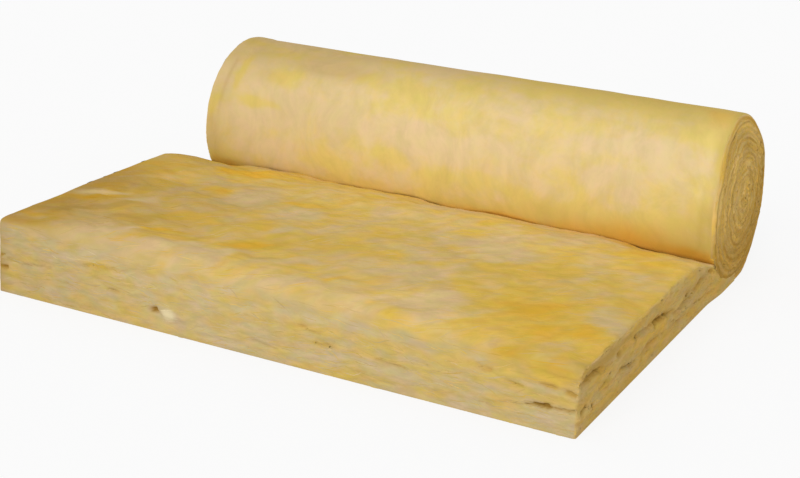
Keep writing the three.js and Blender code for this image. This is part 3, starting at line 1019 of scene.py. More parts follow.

# %% [markdown]
# The skin is patchy too. Its ovals are (place across, angle, half length, half width in degrees,
# strength), with the angle counted down the front of the roll: 90 degrees is its highest line, and
# the crease lies at about 207. The gold ovals at 196 to 207 degrees, along the crease, are painted
# warm light bounced in the crease, and the ovals of shade are painted shade.

# %% Patches of the skin
GOLD_ON_SKIN = (
    (-0.463, 154, 0.045, 4, 1.5), (-0.428, 131, 0.04, 9, 1.8), (-0.54, 131, 0.012, 14, 1.5),
    (-0.41, 171, 0.045, 6, 0.8), (-0.581, 160, 0.008, 10, 1.2), (-0.225, 124, 0.06, 8, 0.8),
    (-0.09, 124, 0.06, 9, 1), (0.01, 112, 0.05, 9, 0.9), (0.14, 106, 0.07, 9, 0.9),
    (-0.4, 150, 0.18, 40, -0.6), (-0.08, 158, 0.2, 10, -0.9), (-0.288, 188, 0.06, 6, 0.9),
    (-0.137, 174, 0.07, 9, 1.1), (0.001, 183, 0.06, 8, 1), (0.184, 140, 0.08, 9, 0.6),
    (0.559, 164, 0.04, 12, 0.6), (0.4, 88, 0.26, 16, 1.3), (0.57, 100, 0.06, 16, 1.2),
    (0.42, 190, 0.17, 12, 1.3), (0.44, 206, 0.22, 11, 1.9), (0.16, 206, 0.12, 8, 1.4),
    (-0.05, 206, 0.2, 7, 1.4), (-0.3, 206, 0.1, 7, 1.2), (-0.56, 205, 0.06, 9, 2.1),
    (0.596, 142, 0.016, 24, 1.3), (0.56, 116, 0.04, 10, 0.8), (-0.136, 154, 0.05, 7, 0.8),
    (-0.1, 107, 0.06, 5, 0.8), (0.314, 169, 0.06, 7, 0.6), (0.128, 184, 0.07, 6, 0.8),
    (0.469, 125, 0.05, 6, 0.6), (-0.563, 165, 0.02, 10, 0.3), (0.585, 207, 0.06, 6, 1.3),
    (-0.1, 196, 0.3, 5, 0.5),
)
SHADE_ON_SKIN = (
    (-0.567, 140, 0.005, 24, 0.4), (-0.33, 118, 0.09, 8, 0.7), (-0.588, 185, 0.02, 16, 0.9),
    (-0.48, 206, 0.12, 5, 1.4), (-0.25, 209, 0.4, 3, 1.2), (0.574, 175, 0.004, 40, 0.8),
    (-0.4, 150, 0.15, 40, 0.3), (0.596, 165, 0.014, 26, 0.6), (-0.475, 132, 0.04, 8, 0.35),
    (0.56, 196, 0.06, 6, -0.15), (0.588, 134, 0.01, 15, 0.55),
)


def shade_of_skin(x, degrees):
    """How far the skin is darker: over the top of the roll, low down, and towards both ends."""
    over = 1.1 * ramp(-degrees, -140, -85) * (0.85 + 0.4 * ramp(-x, 0.15, 0.50))
    low_down = 0.55 * ramp(degrees, 178, 205) * ramp(x, -0.10, 0.45)
    rims = 0.5 * ramp(-x, 0.44, 0.60)
    rims += ramp(x, 0.46, 0.58) * (0.70 * ramp(degrees, 156, 182) - 0.17)
    return over + low_down + rims + spots(x, degrees, SHADE_ON_SKIN)


print("patches of the skin:", len(GOLD_ON_SKIN), "of gold and", len(SHADE_ON_SKIN), "of shade")

# %% [markdown]
# On the ends each turn shows a thin darker seam, paler and darker rings drift through the turns,
# and the outermost rim carries a painted highlight where its fluff stands free. The ends are also
# painted a little brighter all over, and warmer as the loose part's cut sides are, both painted
# light. The wool is darker near the floor and towards the back of the roll. All of this could be
# one long formula in the finish, but the points know their turn and their place in it, so it is
# worked out here and carried as masks.

# %% Looks of the wound turns
LIP_WIDTH = ((80, 0.011), (140, 0.008), (170, 0.005), (230, 0.006))
RIM_GLOW = ((80, 2.8), (118, 2.3), (150, 0.7), (200, 0.4), (230, 0.8))
RIM_BAND = 0.005
SEAM_WIDTH = 0.002
FLOOR_SHADE = 0.65
BACK_SHADE = 0.28
BAND_SHADE = 0.22
SEAM_SHADE = 0.2
RING_SHADE = 0.75
RING_GLOW = 2.4
END_GLOW = 0.25


def masks_of_wound(points, unrolled, share, turns, ends, skin):
    """What kind of wool each wound point is, with its tints and casts."""
    kinds = np.stack([skin, 1 - np.maximum(skin, ends), ends], axis=1)
    degrees = degrees_at(turns)
    spot_x = unrolled[:, 0] + 0.020 * cloud(unrolled, (0.060, 0.060, 1), 92)
    spot_degrees = degrees + 4 * cloud(unrolled, (0.050, 0.050, 1), 93)
    gold = spots(spot_x, spot_degrees, GOLD_ON_SKIN) * skin
    inward = unrolled[:, 2]
    outermost = turns < 1
    lip_width = waves(degrees, *LIP_WIDTH)
    rim = np.exp(-((inward / lip_width) ** 2)) * outermost
    band = np.exp(-(((inward - 2 * lip_width) / RIM_BAND) ** 2)) * outermost
    seams = np.exp(-np.minimum(inward, np.abs(TURN - inward)) / SEAM_WIDTH)
    seams *= ramp(cloud(unrolled, (1, 0.035, 0.020), 80), -0.3, 0.5)
    drift = cloud(rings(unrolled[:, 1], share), (0.11, 0.11, 0.008), 81)
    shade = FLOOR_SHADE * ramp(-points[:, 2], -0.20, -0.04)
    shade += BACK_SHADE * ramp(points[:, 1], AXIS_Y - 0.02, high.y)
    shade += BAND_SHADE * band + SEAM_SHADE * seams * (1 - rim) + RING_SHADE * ramp(drift, 0, 0.8)
    shade = shade * ends + shade_of_skin(unrolled[:, 0], degrees) * skin
    glow = ends * (rim * waves(degrees, *RIM_GLOW) + RING_GLOW * ramp(-drift, 0, 0.8) + END_GLOW)
    # The first cast paints warm light on the ends, as on the loose part's cut sides.
    return {
        "unrolled": unrolled * (1, 1, SPRING_BACK),
        "kinds": kinds,
        "tints": np.column_stack([gold, 0 * gold, 0 * gold]),
        "casts": np.column_stack([ends, shade, glow]),
    }


rim_glow = waves(118, *RIM_GLOW).round(2)
print("the upper rim glows", rim_glow, "and is", waves(118, *LIP_WIDTH).round(4), "m wide")

# %% [markdown]
# The outermost turn is one piece from end to end, and most of it is skin. Its rows are four times
# finer on either side of the crease, where the skin dives in. Its columns stand close together at
# both ends, and further in at the left, where the lip and its folds are. It goes on inward for
# nearly a third of a turn, so that the inner turns can take over where nobody sees it.

# %% The outermost turn
FINE_FROM = 0.95
FINE_TO = 1.05
OUTER_STOPS = 1.3


def wound_wool(turns, through, across):
    """Points, nets and masks of a wound piece."""
    steps, nets = brick(len(turns), len(through), len(across))
    points, unrolled, share = wound_plain(steps, turns, through, across)
    normals = normals_of(points, quads_of_all(nets.values()))
    moved, ends, skin = lump_wound(points, normals, unrolled, share)
    masks = masks_of_wound(points, unrolled, share, turns[steps[:, 0]], ends, skin)
    return moved, nets, masks


def make_wound(name, wool):
    """A piece from the points, nets and masks of wound wool."""
    points, nets, masks = wool
    return make_piece(name, points, [*quads_of_all(nets.values())], masks, SHARP_SEAM)


FOLDED_END = (-SIDE + 0.060, 0.0022), (-SIDE + 0.10, 0.005)
ROLL_ACROSS = spread(-SIDE, *FOLDED_END, (SIDE - 0.02, 0.010), (SIDE, 0.002))
TURN_THROUGH = spread(0, (1, 0.09))
skin_rows = rows_of_turns(math.ceil(UNDER_AXIS * ROWS_A_TURN) / ROWS_A_TURN, FINE_FROM)
crease_rows = rows_of_turns(FINE_FROM, FINE_TO, 4)
hidden_rows = rows_of_turns(FINE_TO, OUTER_STOPS)
outer_rows = np.concatenate([[UNDER_AXIS], skin_rows, crease_rows[1:], hidden_rows[1:]])
outer_wool = wound_wool(outer_rows, TURN_THROUGH, ROLL_ACROSS)
outer_turn = make_wound("outer_turn", outer_wool)

# %% [markdown]
# Deeper in, only the two ends of the roll can be seen, so the inner turns are made there alone, a
# few centimetres deep. A whole roll of nine turns would have several times as many triangles and
# look the same. They take over where the outermost turn stops and wind in until they close at the eye.

# %% Inner turns at the two ends
END_DEPTHS = spread(0, (0.012, 0.002), (0.045, 0.008))
inner_rows = rows_of_turns(OUTER_STOPS, LAST_TURN)
right_wool = wound_wool(inner_rows, TURN_THROUGH, SIDE - END_DEPTHS[::-1])
left_wool = wound_wool(inner_rows, TURN_THROUGH, END_DEPTHS - SIDE)
right_turns = make_wound("inner_turns_right", right_wool)
left_turns = make_wound("inner_turns_left", left_wool)

# %% [markdown]
# Up close, wool is strands. Thin ones lie on every face that shows, some paler and some deeper in
# colour than the wool round them, and they give the streaks their crisp edges. Hair could be grown
# on the faces instead, but it wouldn't lie flat, and it would be lost when the meshes are kept on
# their own. So each strand walks over the net of points that makes its face and bends with every
# lump. The walks start in places drawn by area, set off in directions that fan out and swirl, and
# wander a little at each step.

# %% Walks over a net
SWIRL_SIZE = 0.12
WANDER = 0.30


def at_net(values, net, row, column):
    """Values of a net's points at places between them."""
    top = np.clip(row.astype(int), 0, net.shape[0] - 2)
    left = np.clip(column.astype(int), 0, net.shape[1] - 2)
    down, aside = (row - top)[..., None], (column - left)[..., None]
    first = values[net[top, left]] * (1 - aside) + values[net[top, left + 1]] * aside
    second = values[net[top + 1, left]] * (1 - aside) + values[net[top + 1, left + 1]] * aside
    return first * (1 - down) + second * down


def unit(vectors):
    """The same directions, each one metre long."""
    return vectors / np.maximum(np.linalg.norm(vectors, axis=-1, keepdims=True), 1e-9)


def walk(points, net, count, lean, fan, swirl, length, sections, dice):
    """Rows and columns of a net along walks that start anywhere on it."""
    row_step = np.linalg.norm(points[net[1:, :-1]] - points[net[:-1, :-1]], axis=2) + 1e-5
    column_step = np.linalg.norm(points[net[:-1, 1:]] - points[net[:-1, :-1]], axis=2) + 1e-5
    area = (row_step * column_step).ravel()
    cells = dice.choice(area.size, count, p=area / area.sum())
    row, column = (start + dice.random(count) for start in np.divmod(cells, column_step.shape[1]))
    start = at_net(points, net, row, column)
    swirled = swirl * cloud(start, SWIRL_SIZE, 95)
    heading = np.radians(lean + fan * dice.normal(size=count) + swirled)
    stride = length * dice.uniform(0.4, 1.6, count) / (sections - 1)
    rows, columns = [row], [column]
    for _ in range(sections - 1):
        places = zip((row, column), net.shape)
        cell = tuple(np.minimum(place.astype(int), size - 2) for place, size in places)
        row = np.clip(row + np.cos(heading) * stride / row_step[cell], 0, net.shape[0] - 1)
        column = np.clip(column + np.sin(heading) * stride / column_step[cell], 0, net.shape[1] - 1)
        heading = heading + dice.normal(0, WANDER / math.sqrt(sections), count)
        rows.append(row)
        columns.append(column)
    return np.array(rows), np.array(columns)


halfway = at_net(loose_points, loose_nets["right"], np.array([0.5]), np.array([2.5]))
print("a place between four points of the right side:", halfway.round(4))

# %% [markdown]
# Along its walk a strand is a thin closed spindle with three sides: two edges that lie sunk in the
# wool and a low back. Its colour is the wool's own, borrowed from a few centimetres away, with a
# little more gold, cream or glow for some. Because most of these extras are small and a few are
# large, a few strands stand out as they do in real wool.

# %% Strands that lie on the wool
STRAND_SIDES = 3
STRAND_TIPS = (0.08, 0.92)
SUNK = 0.20
RAISED = 0.14
BORROWED_FROM = (0.05, 0.05, 0.02)
TINTS_APART = (0.5, 0.6, 0.15)
CASTS_APART = (0, 0.4, 0.8)


def strands(wool, net, count, seed, lean, fan, swirl, length, width, sections):
    """Points, faces and masks of strands that lie on one net."""
    points, _, masks = wool
    dice = np.random.default_rng(seed)
    rows, columns = walk(points, net, count, lean, fan, swirl, length, sections, dice)
    normals = normals_of(points, quads_of(net))
    centre = at_net(points, net, rows, columns)
    up = unit(at_net(normals, net, rows, columns))
    aside = unit(np.cross(up, np.gradient(centre, axis=0)))
    taper = np.sin(np.linspace(*STRAND_TIPS, sections) * math.pi)[:, None, None]
    half = taper * (width * dice.uniform(0.4, 1.2, count) / 2)[:, None]
    edge = centre - up * half * SUNK
    corners = [edge + aside * half, centre + up * half * RAISED, edge - aside * half]
    made = np.stack(corners, axis=2)

    number = np.arange(made[..., 0].size).reshape(made.shape[:3])
    beside = np.roll(number, -1, axis=2)
    sides = np.stack([number[:-1], beside[:-1], beside[1:], number[1:]], axis=-1)
    caps = np.concatenate([number[0, :, ::-1], number[-1]])

    worn = {label: at_net(values, net, rows, columns) for label, values in masks.items()}
    worn["lit_by"] = up
    worn["unrolled"] = worn["unrolled"] + dice.normal(size=(count, 3)) * BORROWED_FROM
    worn["tints"] = worn["tints"] + dice.random((count, 3)) ** 3 * TINTS_APART
    worn["casts"] = worn["casts"] + dice.random((count, 3)) ** 3 * CASTS_APART
    for label, values in worn.items():
        worn[label] = np.repeat(values[:, :, None], STRAND_SIDES, axis=2).reshape(-1, 3)
    return made.reshape(-1, 3), (sides.reshape(-1, 4), caps), worn


def make_strands(name, *sets):
    """One piece from several sets of strands."""
    starts = np.cumsum([0] + [len(points) for points, _, _ in sets])
    points = np.concatenate([points for points, _, _ in sets])
    faces = []
    for (_, face_kinds, _), start in zip(sets, starts):
        for face_kind in face_kinds:
            faces.extend(face_kind + start)
    masks = {label: np.concatenate([masks[label] for _, _, masks in sets]) for label in sets[0][2]}
    return make_piece(name, points, faces, masks, lit_by=masks.pop("lit_by"))


print("a strand has", STRAND_SIDES, "sides and is", 100 * SUNK, "percent sunk")

# %% [markdown]
# Each kind of face has its own look of strands. On top they lie aslant and swirl. On the cut faces
# they follow the layers, and on the roll's ends they follow the turns. Walks set off from one row to
# the next, so the rows of a side's net have to follow one another along the blanket. A net has to
# face out too, or its strands would be lit from the inside, so the left nets are turned over.

# %% Strands of every face that shows
TOP_LOOK = {"lean": 30, "fan": 14, "swirl": 18, "length": 0.050, "width": 0.0046, "sections": 10}
FRONT_LOOK = {"lean": 0, "fan": 7, "swirl": 6, "length": 0.036, "width": 0.0036, "sections": 10}
SIDE_LOOK = {"lean": 0, "fan": 9, "swirl": 6, "length": 0.035, "width": 0.0038, "sections": 8}
RIGHT_LOOK = {"lean": 0, "fan": 24, "swirl": 0, "length": 0.024, "width": 0.0036, "sections": 6}
LEFT_LOOK = {"lean": 0, "fan": 20, "swirl": 0, "length": 0.026, "width": 0.0036, "sections": 6}
LONG_LEFT_LOOK = LEFT_LOOK | {"length": 0.030}
KEPT_OFF_CREASE = 4


def turned_over(net):
    """A left net with its rows along the blanket, facing out."""
    return net.T[:, ::-1]


loose_all = lumped_points, loose_nets, loose_masks
top_net = loose_nets["inner"][:, : len(ROWS) - KEPT_OFF_CREASE]
front_net = loose_nets["start"][:, 1:]
right_net = loose_nets["right"][: len(ROWS), 1:]
left_net = turned_over(loose_nets["left"])[: len(ROWS), :-1]
top_strands = make_strands("top_strands", strands(loose_all, top_net, 2400, 1, **TOP_LOOK))
cut_strands = make_strands(
    "cut_strands",
    strands(loose_all, front_net, 900, 2, **FRONT_LOOK),
    strands(loose_all, right_net, 600, 3, **SIDE_LOOK),
    strands(loose_all, left_net, 300, 4, **SIDE_LOOK),
)
outer_nets, right_nets, left_nets = outer_wool[1], right_wool[1], left_wool[1]
end_strands = make_strands(
    "end_strands",
    strands(outer_wool, outer_nets["right"], 600, 5, **RIGHT_LOOK),
    strands(right_wool, right_nets["right"], 2200, 6, **RIGHT_LOOK),
    strands(outer_wool, turned_over(outer_nets["left"]), 200, 7, **LONG_LEFT_LOOK),
    strands(left_wool, turned_over(left_nets["left"]), 800, 8, **LEFT_LOOK),
)

# %% [markdown]
# Next comes the finish. Shader maths reads best as sums, so a small class wraps one socket: adding,
# taking away and multiplying make the Math nodes.

# %% Sockets that can be used in sums
class Wired:
    """A node's output socket that can be used in sums with numbers and other sockets."""

    def __init__(self, finish, socket):
        self.finish = finish
        self.socket = socket

    def sum_with(self, operation, first, second):
        """A Math node's result."""
        return self.finish.node("ShaderNodeMath", {"operation": operation}, {0: first, 1: second})

    def __add__(self, other):
        return self.sum_with("ADD", self, other)

    def __sub__(self, other):
        return self.sum_with("SUBTRACT", self, other)

    def __rsub__(self, other):
        return self.sum_with("SUBTRACT", other, self)

    def __mul__(self, other):
        return self.sum_with("MULTIPLY", self, other)

    __radd__ = __add__
    __rmul__ = __mul__


print("a socket can be added, taken away and multiplied")

# %% [markdown]
# Any other node comes from one method, which takes the node's type, its settings and its sockets'
# values or links. The other methods are this blanket's own recipes: a colour that turns into
# another, a tint, and noise read at the wool's place on the unrolled blanket. That place can be
# stretched, turned or pushed about first, which makes the streaks long, slanting or swirling.

# %% A finish, node by node
class Finish:
    """The nodes of a material or of the world, added one by one."""

    def __init__(self, owner):
        owner.use_nodes = True
        self.owner = owner
        self.tree = owner.node_tree
        self.tree.nodes.clear()

    def node(self, kind, settings=None, sockets=None, out=0):
        """Add a node with its settings, then its sockets' values or links."""
        made = self.tree.nodes.new(kind)
        for name, value in (settings or {}).items():
            setattr(made, name, value)
        for name, value in (sockets or {}).items():
            if isinstance(value, Wired):
                self.tree.links.new(value.socket, made.inputs[name])
            else:
                made.inputs[name].default_value = value
        return Wired(self, made.outputs[out]) if made.outputs else None

    def mix(self, factor, first, second):
        """One colour turning into another."""
        colours = {0: factor, 6: first, 7: second}
        return self.node("ShaderNodeMix", {"data_type": "RGBA"}, colours, out=2)

    def tint(self, factor, colour, less, more):
        """A colour multiplied by one tint or another."""
        settings = {"data_type": "RGBA", "blend_type": "MULTIPLY"}
        colours = {0: 1, 6: colour, 7: self.mix(factor, less, more)}
        return self.node("ShaderNodeMix", settings, colours, out=2)

    def between(self, value, low, high):
        """0 below low, 1 above high, and a smooth rise between them."""
        settings = {"interpolation_type": "SMOOTHSTEP"}
        sockets = {"Value": value, "From Min": low, "From Max": high}
        return self.node("ShaderNodeMapRange", settings, sockets)

    def moved(self, operation, place, by):
        """The wool's place, added to, taken from or multiplied by a vector."""
        return self.node("ShaderNodeVectorMath", {"operation": operation}, {0: place, 1: by})

    def lumps(self, place, per_metre, detail=3, roughness=0.55, distortion=0):
        """Layered noise from about 0 to 1, with so many lumps to the metre each way."""
        sockets = {
            "Vector": self.moved("MULTIPLY", place, per_metre),
            "Scale": 1,
            "Detail": detail,
            "Roughness": roughness,
            "Distortion": distortion,
        }
        return self.node("ShaderNodeTexNoise", {"noise_dimensions": "3D"}, sockets)

    def wandered(self, place, per_metre, reach):
        """The wool's place, pushed about by soft noise so that streaks swirl."""
        even = self.moved("MULTIPLY", place, (per_metre,) * 3)
        push = self.node("ShaderNodeTexNoise", None, {"Vector": even, "Scale": 1, "Detail": 2}, out=1)
        push = self.moved("SUBTRACT", push, (0.5, 0.5, 0.5))
        push = self.node("ShaderNodeVectorMath", {"operation": "SCALE"}, {0: push, "Scale": reach})
        return self.moved("ADD", place, push)

    def turned(self, place, degrees):
        """The wool's place, turned in the plane of the blanket."""
        sockets = {"Vector": place, "Angle": math.radians(degrees)}
        return self.node("ShaderNodeVectorRotate", {"rotation_type": "Z_AXIS"}, sockets)

    def carried(self, name):
        """What the points carry under one name, as a vector."""
        return self.node("ShaderNodeAttribute", {"attribute_name": name}, out=1)

    def masks(self, name):
        """The three masks that the points carry under one name."""
        parts = self.node("ShaderNodeSeparateXYZ", None, {0: self.carried(name)})
        return [Wired(self, output) for output in parts.socket.node.outputs]


print("a finish can mix, tint and make lumps")

# %% [markdown]
# Glass wool takes its colour from its binder. Thin spread, the fibres are cream, and where the
# binder ran together they are deep gold. These are the colours of the skin, of the fluff on top and
# of the cut faces, and then the tints that the colours are multiplied by: a little greener or
# rosier, and dimmer or brighter. The last tints are painted light: shaded, warmed where a face looks
# sideways, and glowing as thin raised fluff does.

# %% Colours of glass wool
ROSE_CREAM = (0.76, 0.57, 0.31, 1)
LEMON_CREAM = (0.76, 0.575, 0.18, 1)
AMBER = (0.83, 0.49, 0.085, 1)
PALE = (0.64, 0.465, 0.215, 1)
GOLDEN = (0.69, 0.455, 0.08, 1)
DEEP_GOLD = (0.72, 0.415, 0.035, 1)
BRONZE = (0.52, 0.35, 0.08, 1)
ASHEN = (0.55, 0.43, 0.235, 1)
STRAW = (0.60, 0.42, 0.12, 1)
TUFT = (0.74, 0.62, 0.36, 1)
OCHRE = (0.50, 0.31, 0.06, 1)
PLAIN = (1, 1, 1, 1)
GREENER = (0.970, 1.014, 0.90, 1)
ROSIER = (1.030, 0.984, 1.07, 1)
SHADED = (0.66, 0.565, 0.34, 1)
SHADED_SKIN = (0.76, 0.715, 0.58, 1)
# Painted warm light, for faces that look sideways.
PAINTED_WARM_LIGHT = (1.11, 0.98, 0.62, 1)
DUSKY = (0.72, 0.72, 0.72, 1)
GLOWING = (1.28, 1.28, 1.28, 1)
DIMMER = (0.93, 0.93, 0.92, 1)
BRIGHTER = (1.06, 1.06, 1.07, 1)
print("deep gold reflects", DEEP_GOLD[0], "of the red light and", DEEP_GOLD[2], "of the blue")

# %% [markdown]
# The skin was pressed smooth on the belt, so its patches are large and soft: lemon on a rosy cream,
# and amber where the gold lies thick. Along the crease that amber is painted warm light, and over
# the top, low down and towards the ends the skin takes painted shade. A painted image could show the
# same, but noise stays sharp however close the camera comes, and it needs no seam where the
# blanket's picture would end.

# %% Colour of the skin
def skin_colour(finish, place, gold, shade, glow):
    """The smooth face: soft blotches of lemon on a rosy cream, amber where gold lies thick, painted warm
    light along the crease, and painted shade.
    """
    drawn = finish.turned(finish.wandered(place, 5, 0.16), 20)
    broad = finish.lumps(place, (5, 6, 6), distortion=0.3)
    small = finish.lumps(place, (18, 24, 24), detail=4, roughness=0.6)
    streak = finish.lumps(drawn, (44, 18, 18), detail=4, roughness=0.6)
    veil = finish.lumps(drawn, (26, 15, 15), detail=6, roughness=0.66)
    rosy = finish.lumps(place, (34, 34, 34), detail=2, roughness=0.5)
    blotch = broad * 0.48 + small * 0.32 + streak * 0.16
    colour = finish.mix(finish.between(blotch + gold * 0.14, 0.41, 0.61), ROSE_CREAM, LEMON_CREAM)
    colour = finish.mix(finish.between(gold + blotch - 0.5, 1.0, 2.4), colour, AMBER)
    colour = finish.tint(finish.between(rosy * 0.6 + streak * 0.4, 0.24, 0.82), colour, GREENER, ROSIER)
    colour = finish.tint(finish.between(veil, 0.26, 0.70), colour, DIMMER, BRIGHTER)
    colour = finish.tint(glow * 0.075 + 0.5, colour, DUSKY, GLOWING)
    return finish.tint(shade * (0.6 + veil * 0.8), colour, PLAIN, SHADED_SKIN)


print("the skin turns from", ROSE_CREAM[:3], "to", LEMON_CREAM[:3])

# %% [markdown]
# The fluff on top is cloudy, with pale and golden wool drawn out aslant across the blanket. Three
# sizes of noise are added up for the gold, and two finer ones make it greener or rosier, and darker
# or lighter, from tuft to tuft.

# %% Colour of the fluff
def fluff_colour(finish, place, gold, cream, dull, shade, glow):
    """The top: soft clouds of pale and golden wool, each a little greener or darker."""
    drawn = finish.turned(finish.wandered(place, 9, 0.06), -40)
    aside = finish.turned(drawn, -14)
    broad = finish.lumps(drawn, (4, 5, 5), detail=1)
    patch = finish.lumps(drawn, (9, 14, 14), detail=1, roughness=0.5)
    wisp = finish.lumps(aside, (19, 30, 30), detail=1, roughness=0.4)
    golden = broad * 0.26 + patch * 0.42 + wisp * 0.32
    rosy = finish.lumps(aside, (24, 40, 40), detail=2, roughness=0.5)
    light = finish.lumps(drawn, (24, 40, 40))
    richer = golden + gold * 0.20 - cream * 0.20
    colour = finish.mix(finish.between(richer, 0.37, 0.62), PALE, GOLDEN)
    colour = finish.mix(finish.between(golden + gold * 0.34, 0.62, 0.90), colour, DEEP_GOLD)
    # Partly painted shade: the crease's edge and the band behind the ridge turn bronze here.
    worn = finish.between(dull * 0.5 + light * 0.5, 0.25, 0.75)
    colour = finish.mix(worn * 0.6, colour, BRONZE)
    colour = finish.tint(finish.between(rosy, 0.30, 0.70), colour, GREENER, ROSIER)
    colour = finish.tint(finish.between(light, 0.32, 0.68), colour, DIMMER, BRIGHTER)
    colour = finish.tint(glow * 0.25 + 0.5, colour, DUSKY, GLOWING)
    shade = shade * (light * 1.6 + 0.2) - cream * 0.35 - gold * 0.15
    return finish.tint(shade, colour, PLAIN, SHADED)


print("the fluff turns from", PALE[:3], "to", GOLDEN[:3], "and", DEEP_GOLD[:3])

# %% [markdown]
# The cut faces are the colour of straw and ash. Their noise is flat, with two or three times as many
# lumps to the metre upwards as sideways, and so it draws short layers and golden flecks. They are
# pale in a pulled-out tuft. Where they face sideways they are warmer, which is painted warm light,
# and in pits and slits they are brown, which is painted shade.

# %% Colour of the cut faces
def cut_colour(finish, place, gold, cream, dull, side, shade, glow):
    """The cut faces: short layers of ashen and straw-coloured wool, painted warm light where they face
    sideways, painted shade in pits.
    """
    swirl = finish.wandered(place, 25, 0.02)
    layer = finish.lumps(swirl, (10, 10, 32), detail=1, roughness=0.5)
    fleck = finish.lumps(swirl, (18, 18, 46), detail=1, roughness=0.4)
    rosy = finish.lumps(swirl, (30, 30, 64), detail=1, roughness=0.5)
    light = finish.lumps(swirl, (26, 26, 90))
    golden = layer * 0.55 + fleck * 0.45
    richer = golden + gold * 0.16 - cream * 0.08
    colour = finish.mix(finish.between(richer, 0.36, 0.65), ASHEN, STRAW)
    colour = finish.mix(finish.between(golden + gold * 0.2, 0.66, 0.86), colour, GOLDEN)
    colour = finish.tint(finish.between(rosy, 0.30, 0.70), colour, GREENER, ROSIER)
    colour = finish.tint(finish.between(light, 0.32, 0.68), colour, DIMMER, BRIGHTER)
    # Painted warm light where the face looks sideways.
    colour = finish.tint(side, colour, PLAIN, PAINTED_WARM_LIGHT)
    colour = finish.mix(finish.between(cream, 0.7, 1.7), colour, TUFT)
    # Mostly painted shade: pits, slits and the band below a side's top edge turn ochre.
    colour = finish.mix(finish.between(dull, 0, 1) * 0.8, colour, OCHRE)
    colour = finish.tint(glow * 0.25 + 0.5, colour, DUSKY, GLOWING)
    return finish.tint(shade, colour, PLAIN, SHADED)


print("a cut face turns from", ASHEN[:3], "to", STRAW[:3])

# %% [markdown]
# All three kinds are one material, led by the masks, so that they melt into each other over an edge
# as they do in the real blanket. Three materials would meet in hard lines. The wool is dry and matt:
# its roughness hardly leaves 0.9, and fibres a few millimetres long are left to a fine bump.

# %% Glass wool
MATT = 0.9
DRY = 0.15
FIBRE_RISE = 0.002
FIBRE_STRENGTH = 0.35


def glass_wool():
    """One finish for the whole blanket, led by the masks that its points carry."""
    finish = Finish(bpy.data.materials.new("glass_wool"))
    place = finish.carried("unrolled")
    skin, _, cut = finish.masks("kinds")
    gold, cream, dull = finish.masks("tints")
    side, shade, glow = finish.masks("casts")
    fluff = fluff_colour(finish, place, gold, cream, dull, shade, glow)
    cut_face = cut_colour(finish, place, gold, cream, dull, side, shade, glow)
    colour = finish.mix(cut, fluff, cut_face)
    colour = finish.mix(skin, colour, skin_colour(finish, place, gold, shade, glow))

    fuzz = finish.lumps(finish.wandered(place, 12, 0.01), (170, 170, 300), roughness=0.6)
    weft = finish.lumps(place, (240, 120, 120), detail=2)
    height = fuzz * (1 - skin) + (weft * 0.35 + fuzz * 0.2) * skin
    rise = {"Strength": FIBRE_STRENGTH, "Distance": FIBRE_RISE, "Height": height}
    bump = finish.node("ShaderNodeBump", None, rise)
    sockets = {"Base Color": colour, "Normal": bump, "Specular IOR Level": DRY}
    sockets["Roughness"] = MATT + (fuzz - 0.5) * 0.2
    shader = finish.node("ShaderNodeBsdfPrincipled", None, sockets)
    finish.node("ShaderNodeOutputMaterial", None, {"Surface": shader})
    print("glass wool has", len(finish.tree.nodes), "nodes")
    return finish.owner


wool = glass_wool()
pieces = loose_wool, outer_turn, right_turns, left_turns, top_strands, cut_strands, end_strands
for piece in pieces:
    piece.data.materials.append(wool)
print("pieces of glass wool:", [piece.name for piece in pieces])

# %% [markdown]
# The blanket lies on a wide pale floor. A floor lit until it looks white would take the wool's
# colours with it, so the floor is white only to the rays that see it: those of the camera, and those
# that come off gloss or through glass. They see mostly a plain white, and a little of the matt floor
# underneath, which keeps the blanket's soft shadow.

# %% Floor
WHITE = (1, 1, 1, 1)
FLOOR_GREY = (0.85, 0.85, 0.85, 1)
FLOOR_WHITENESS = 0.85
FLOOR_REACH = 30


def seeing_rays(finish):
    """1 for the camera's rays and those off gloss or through glass, and 0 for the others."""
    camera_rays = finish.node("ShaderNodeLightPath")
    outputs = camera_rays.socket.node.outputs
    glossy_rays = Wired(finish, outputs["Is Glossy Ray"])
    return camera_rays + glossy_rays + Wired(finish, outputs["Is Transmission Ray"])


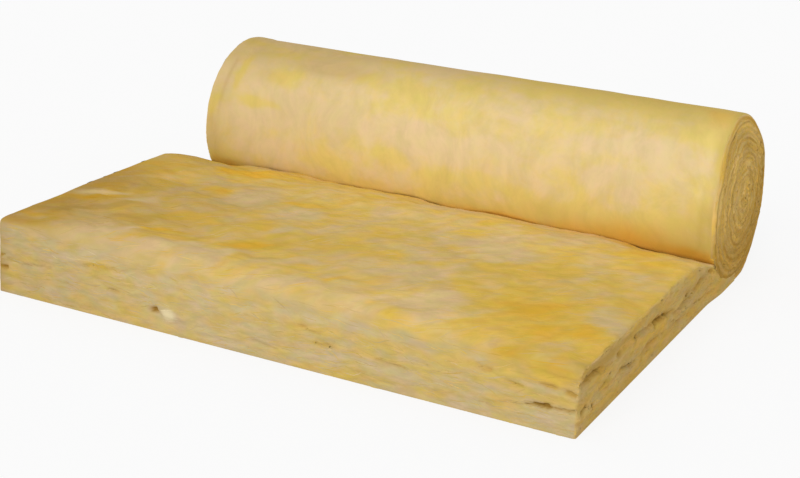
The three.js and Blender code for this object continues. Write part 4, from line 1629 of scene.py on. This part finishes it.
def pale_floor():
    """A wide floor that looks white but keeps the blanket's shadow."""
    mesh = bpy.data.meshes.new("floor")
    around = ((-1, -1), (1, -1), (1, 1), (-1, 1))
    corners = [(x * FLOOR_REACH, y * FLOOR_REACH, 0) for x, y in around]
    mesh.from_pydata(corners, [], [(0, 1, 2, 3)])
    floor = bpy.data.objects.new("floor", mesh)
    bpy.context.scene.collection.objects.link(floor)
    finish = Finish(bpy.data.materials.new("pale_floor"))
    whiteness = seeing_rays(finish) * FLOOR_WHITENESS
    matt = finish.node("ShaderNodeBsdfDiffuse", None, {"Color": FLOOR_GREY})
    white = finish.node("ShaderNodeEmission", None, {"Color": WHITE, "Strength": 1})
    mixed = finish.node("ShaderNodeMixShader", None, {0: whiteness, 1: matt, 2: white})
    finish.node("ShaderNodeOutputMaterial", None, {"Surface": mixed})
    mesh.materials.append(finish.owner)
    return floor


print("floor of", 2 * FLOOR_REACH, "m:", pale_floor().name)

# %% [markdown]
# Soft light comes from the whole world. At full strength it would show the wool's colours just as
# they are written, but with no form, so it is held at seven tenths. The rest comes from one broad
# lamp in front of the free end, a little to the left and 30 degrees up, which brings out the front
# and the skin of the roll. It is as wide as 35 degrees of sky, so its shadows have no edge. The
# camera sees a plain white world behind the floor.

# %% World and lamp
AMBIENT = 0.70


def studio_world():
    """Soft light from all round, and a white backdrop for the camera."""
    world = bpy.data.worlds.new("studio")
    sky = Finish(world)
    soft = sky.node("ShaderNodeBackground", None, {"Color": WHITE, "Strength": AMBIENT})
    white = sky.node("ShaderNodeBackground", None, {"Color": WHITE, "Strength": 1})
    mixed = sky.node("ShaderNodeMixShader", None, {0: seeing_rays(sky), 1: soft, 2: white})
    sky.node("ShaderNodeOutputWorld", None, {"Surface": mixed})
    bpy.context.scene.world = world


def broad_lamp(name, azimuth, elevation, strength, softness):
    """A lamp as far off as the sun, with a soft edge to its shadow."""
    lamp = bpy.data.lights.new(name, "SUN")
    lamp.energy = strength
    lamp.angle = math.radians(softness)
    placed = bpy.data.objects.new(name, lamp)
    turn = Matrix.Rotation(math.radians(azimuth), 4, "Z")
    tilt = Matrix.Rotation(math.radians(90 - elevation), 4, "X")
    placed.matrix_world = turn @ tilt
    bpy.context.scene.collection.objects.link(placed)
    return placed


studio_world()
front_lamp = broad_lamp("front_lamp", azimuth=-5, elevation=30, strength=1.14, softness=35)
bpy.context.scene.view_settings.view_transform = "Standard"
print("world at", AMBIENT, "and", front_lamp.name, "at", round(front_lamp.data.energy, 2))
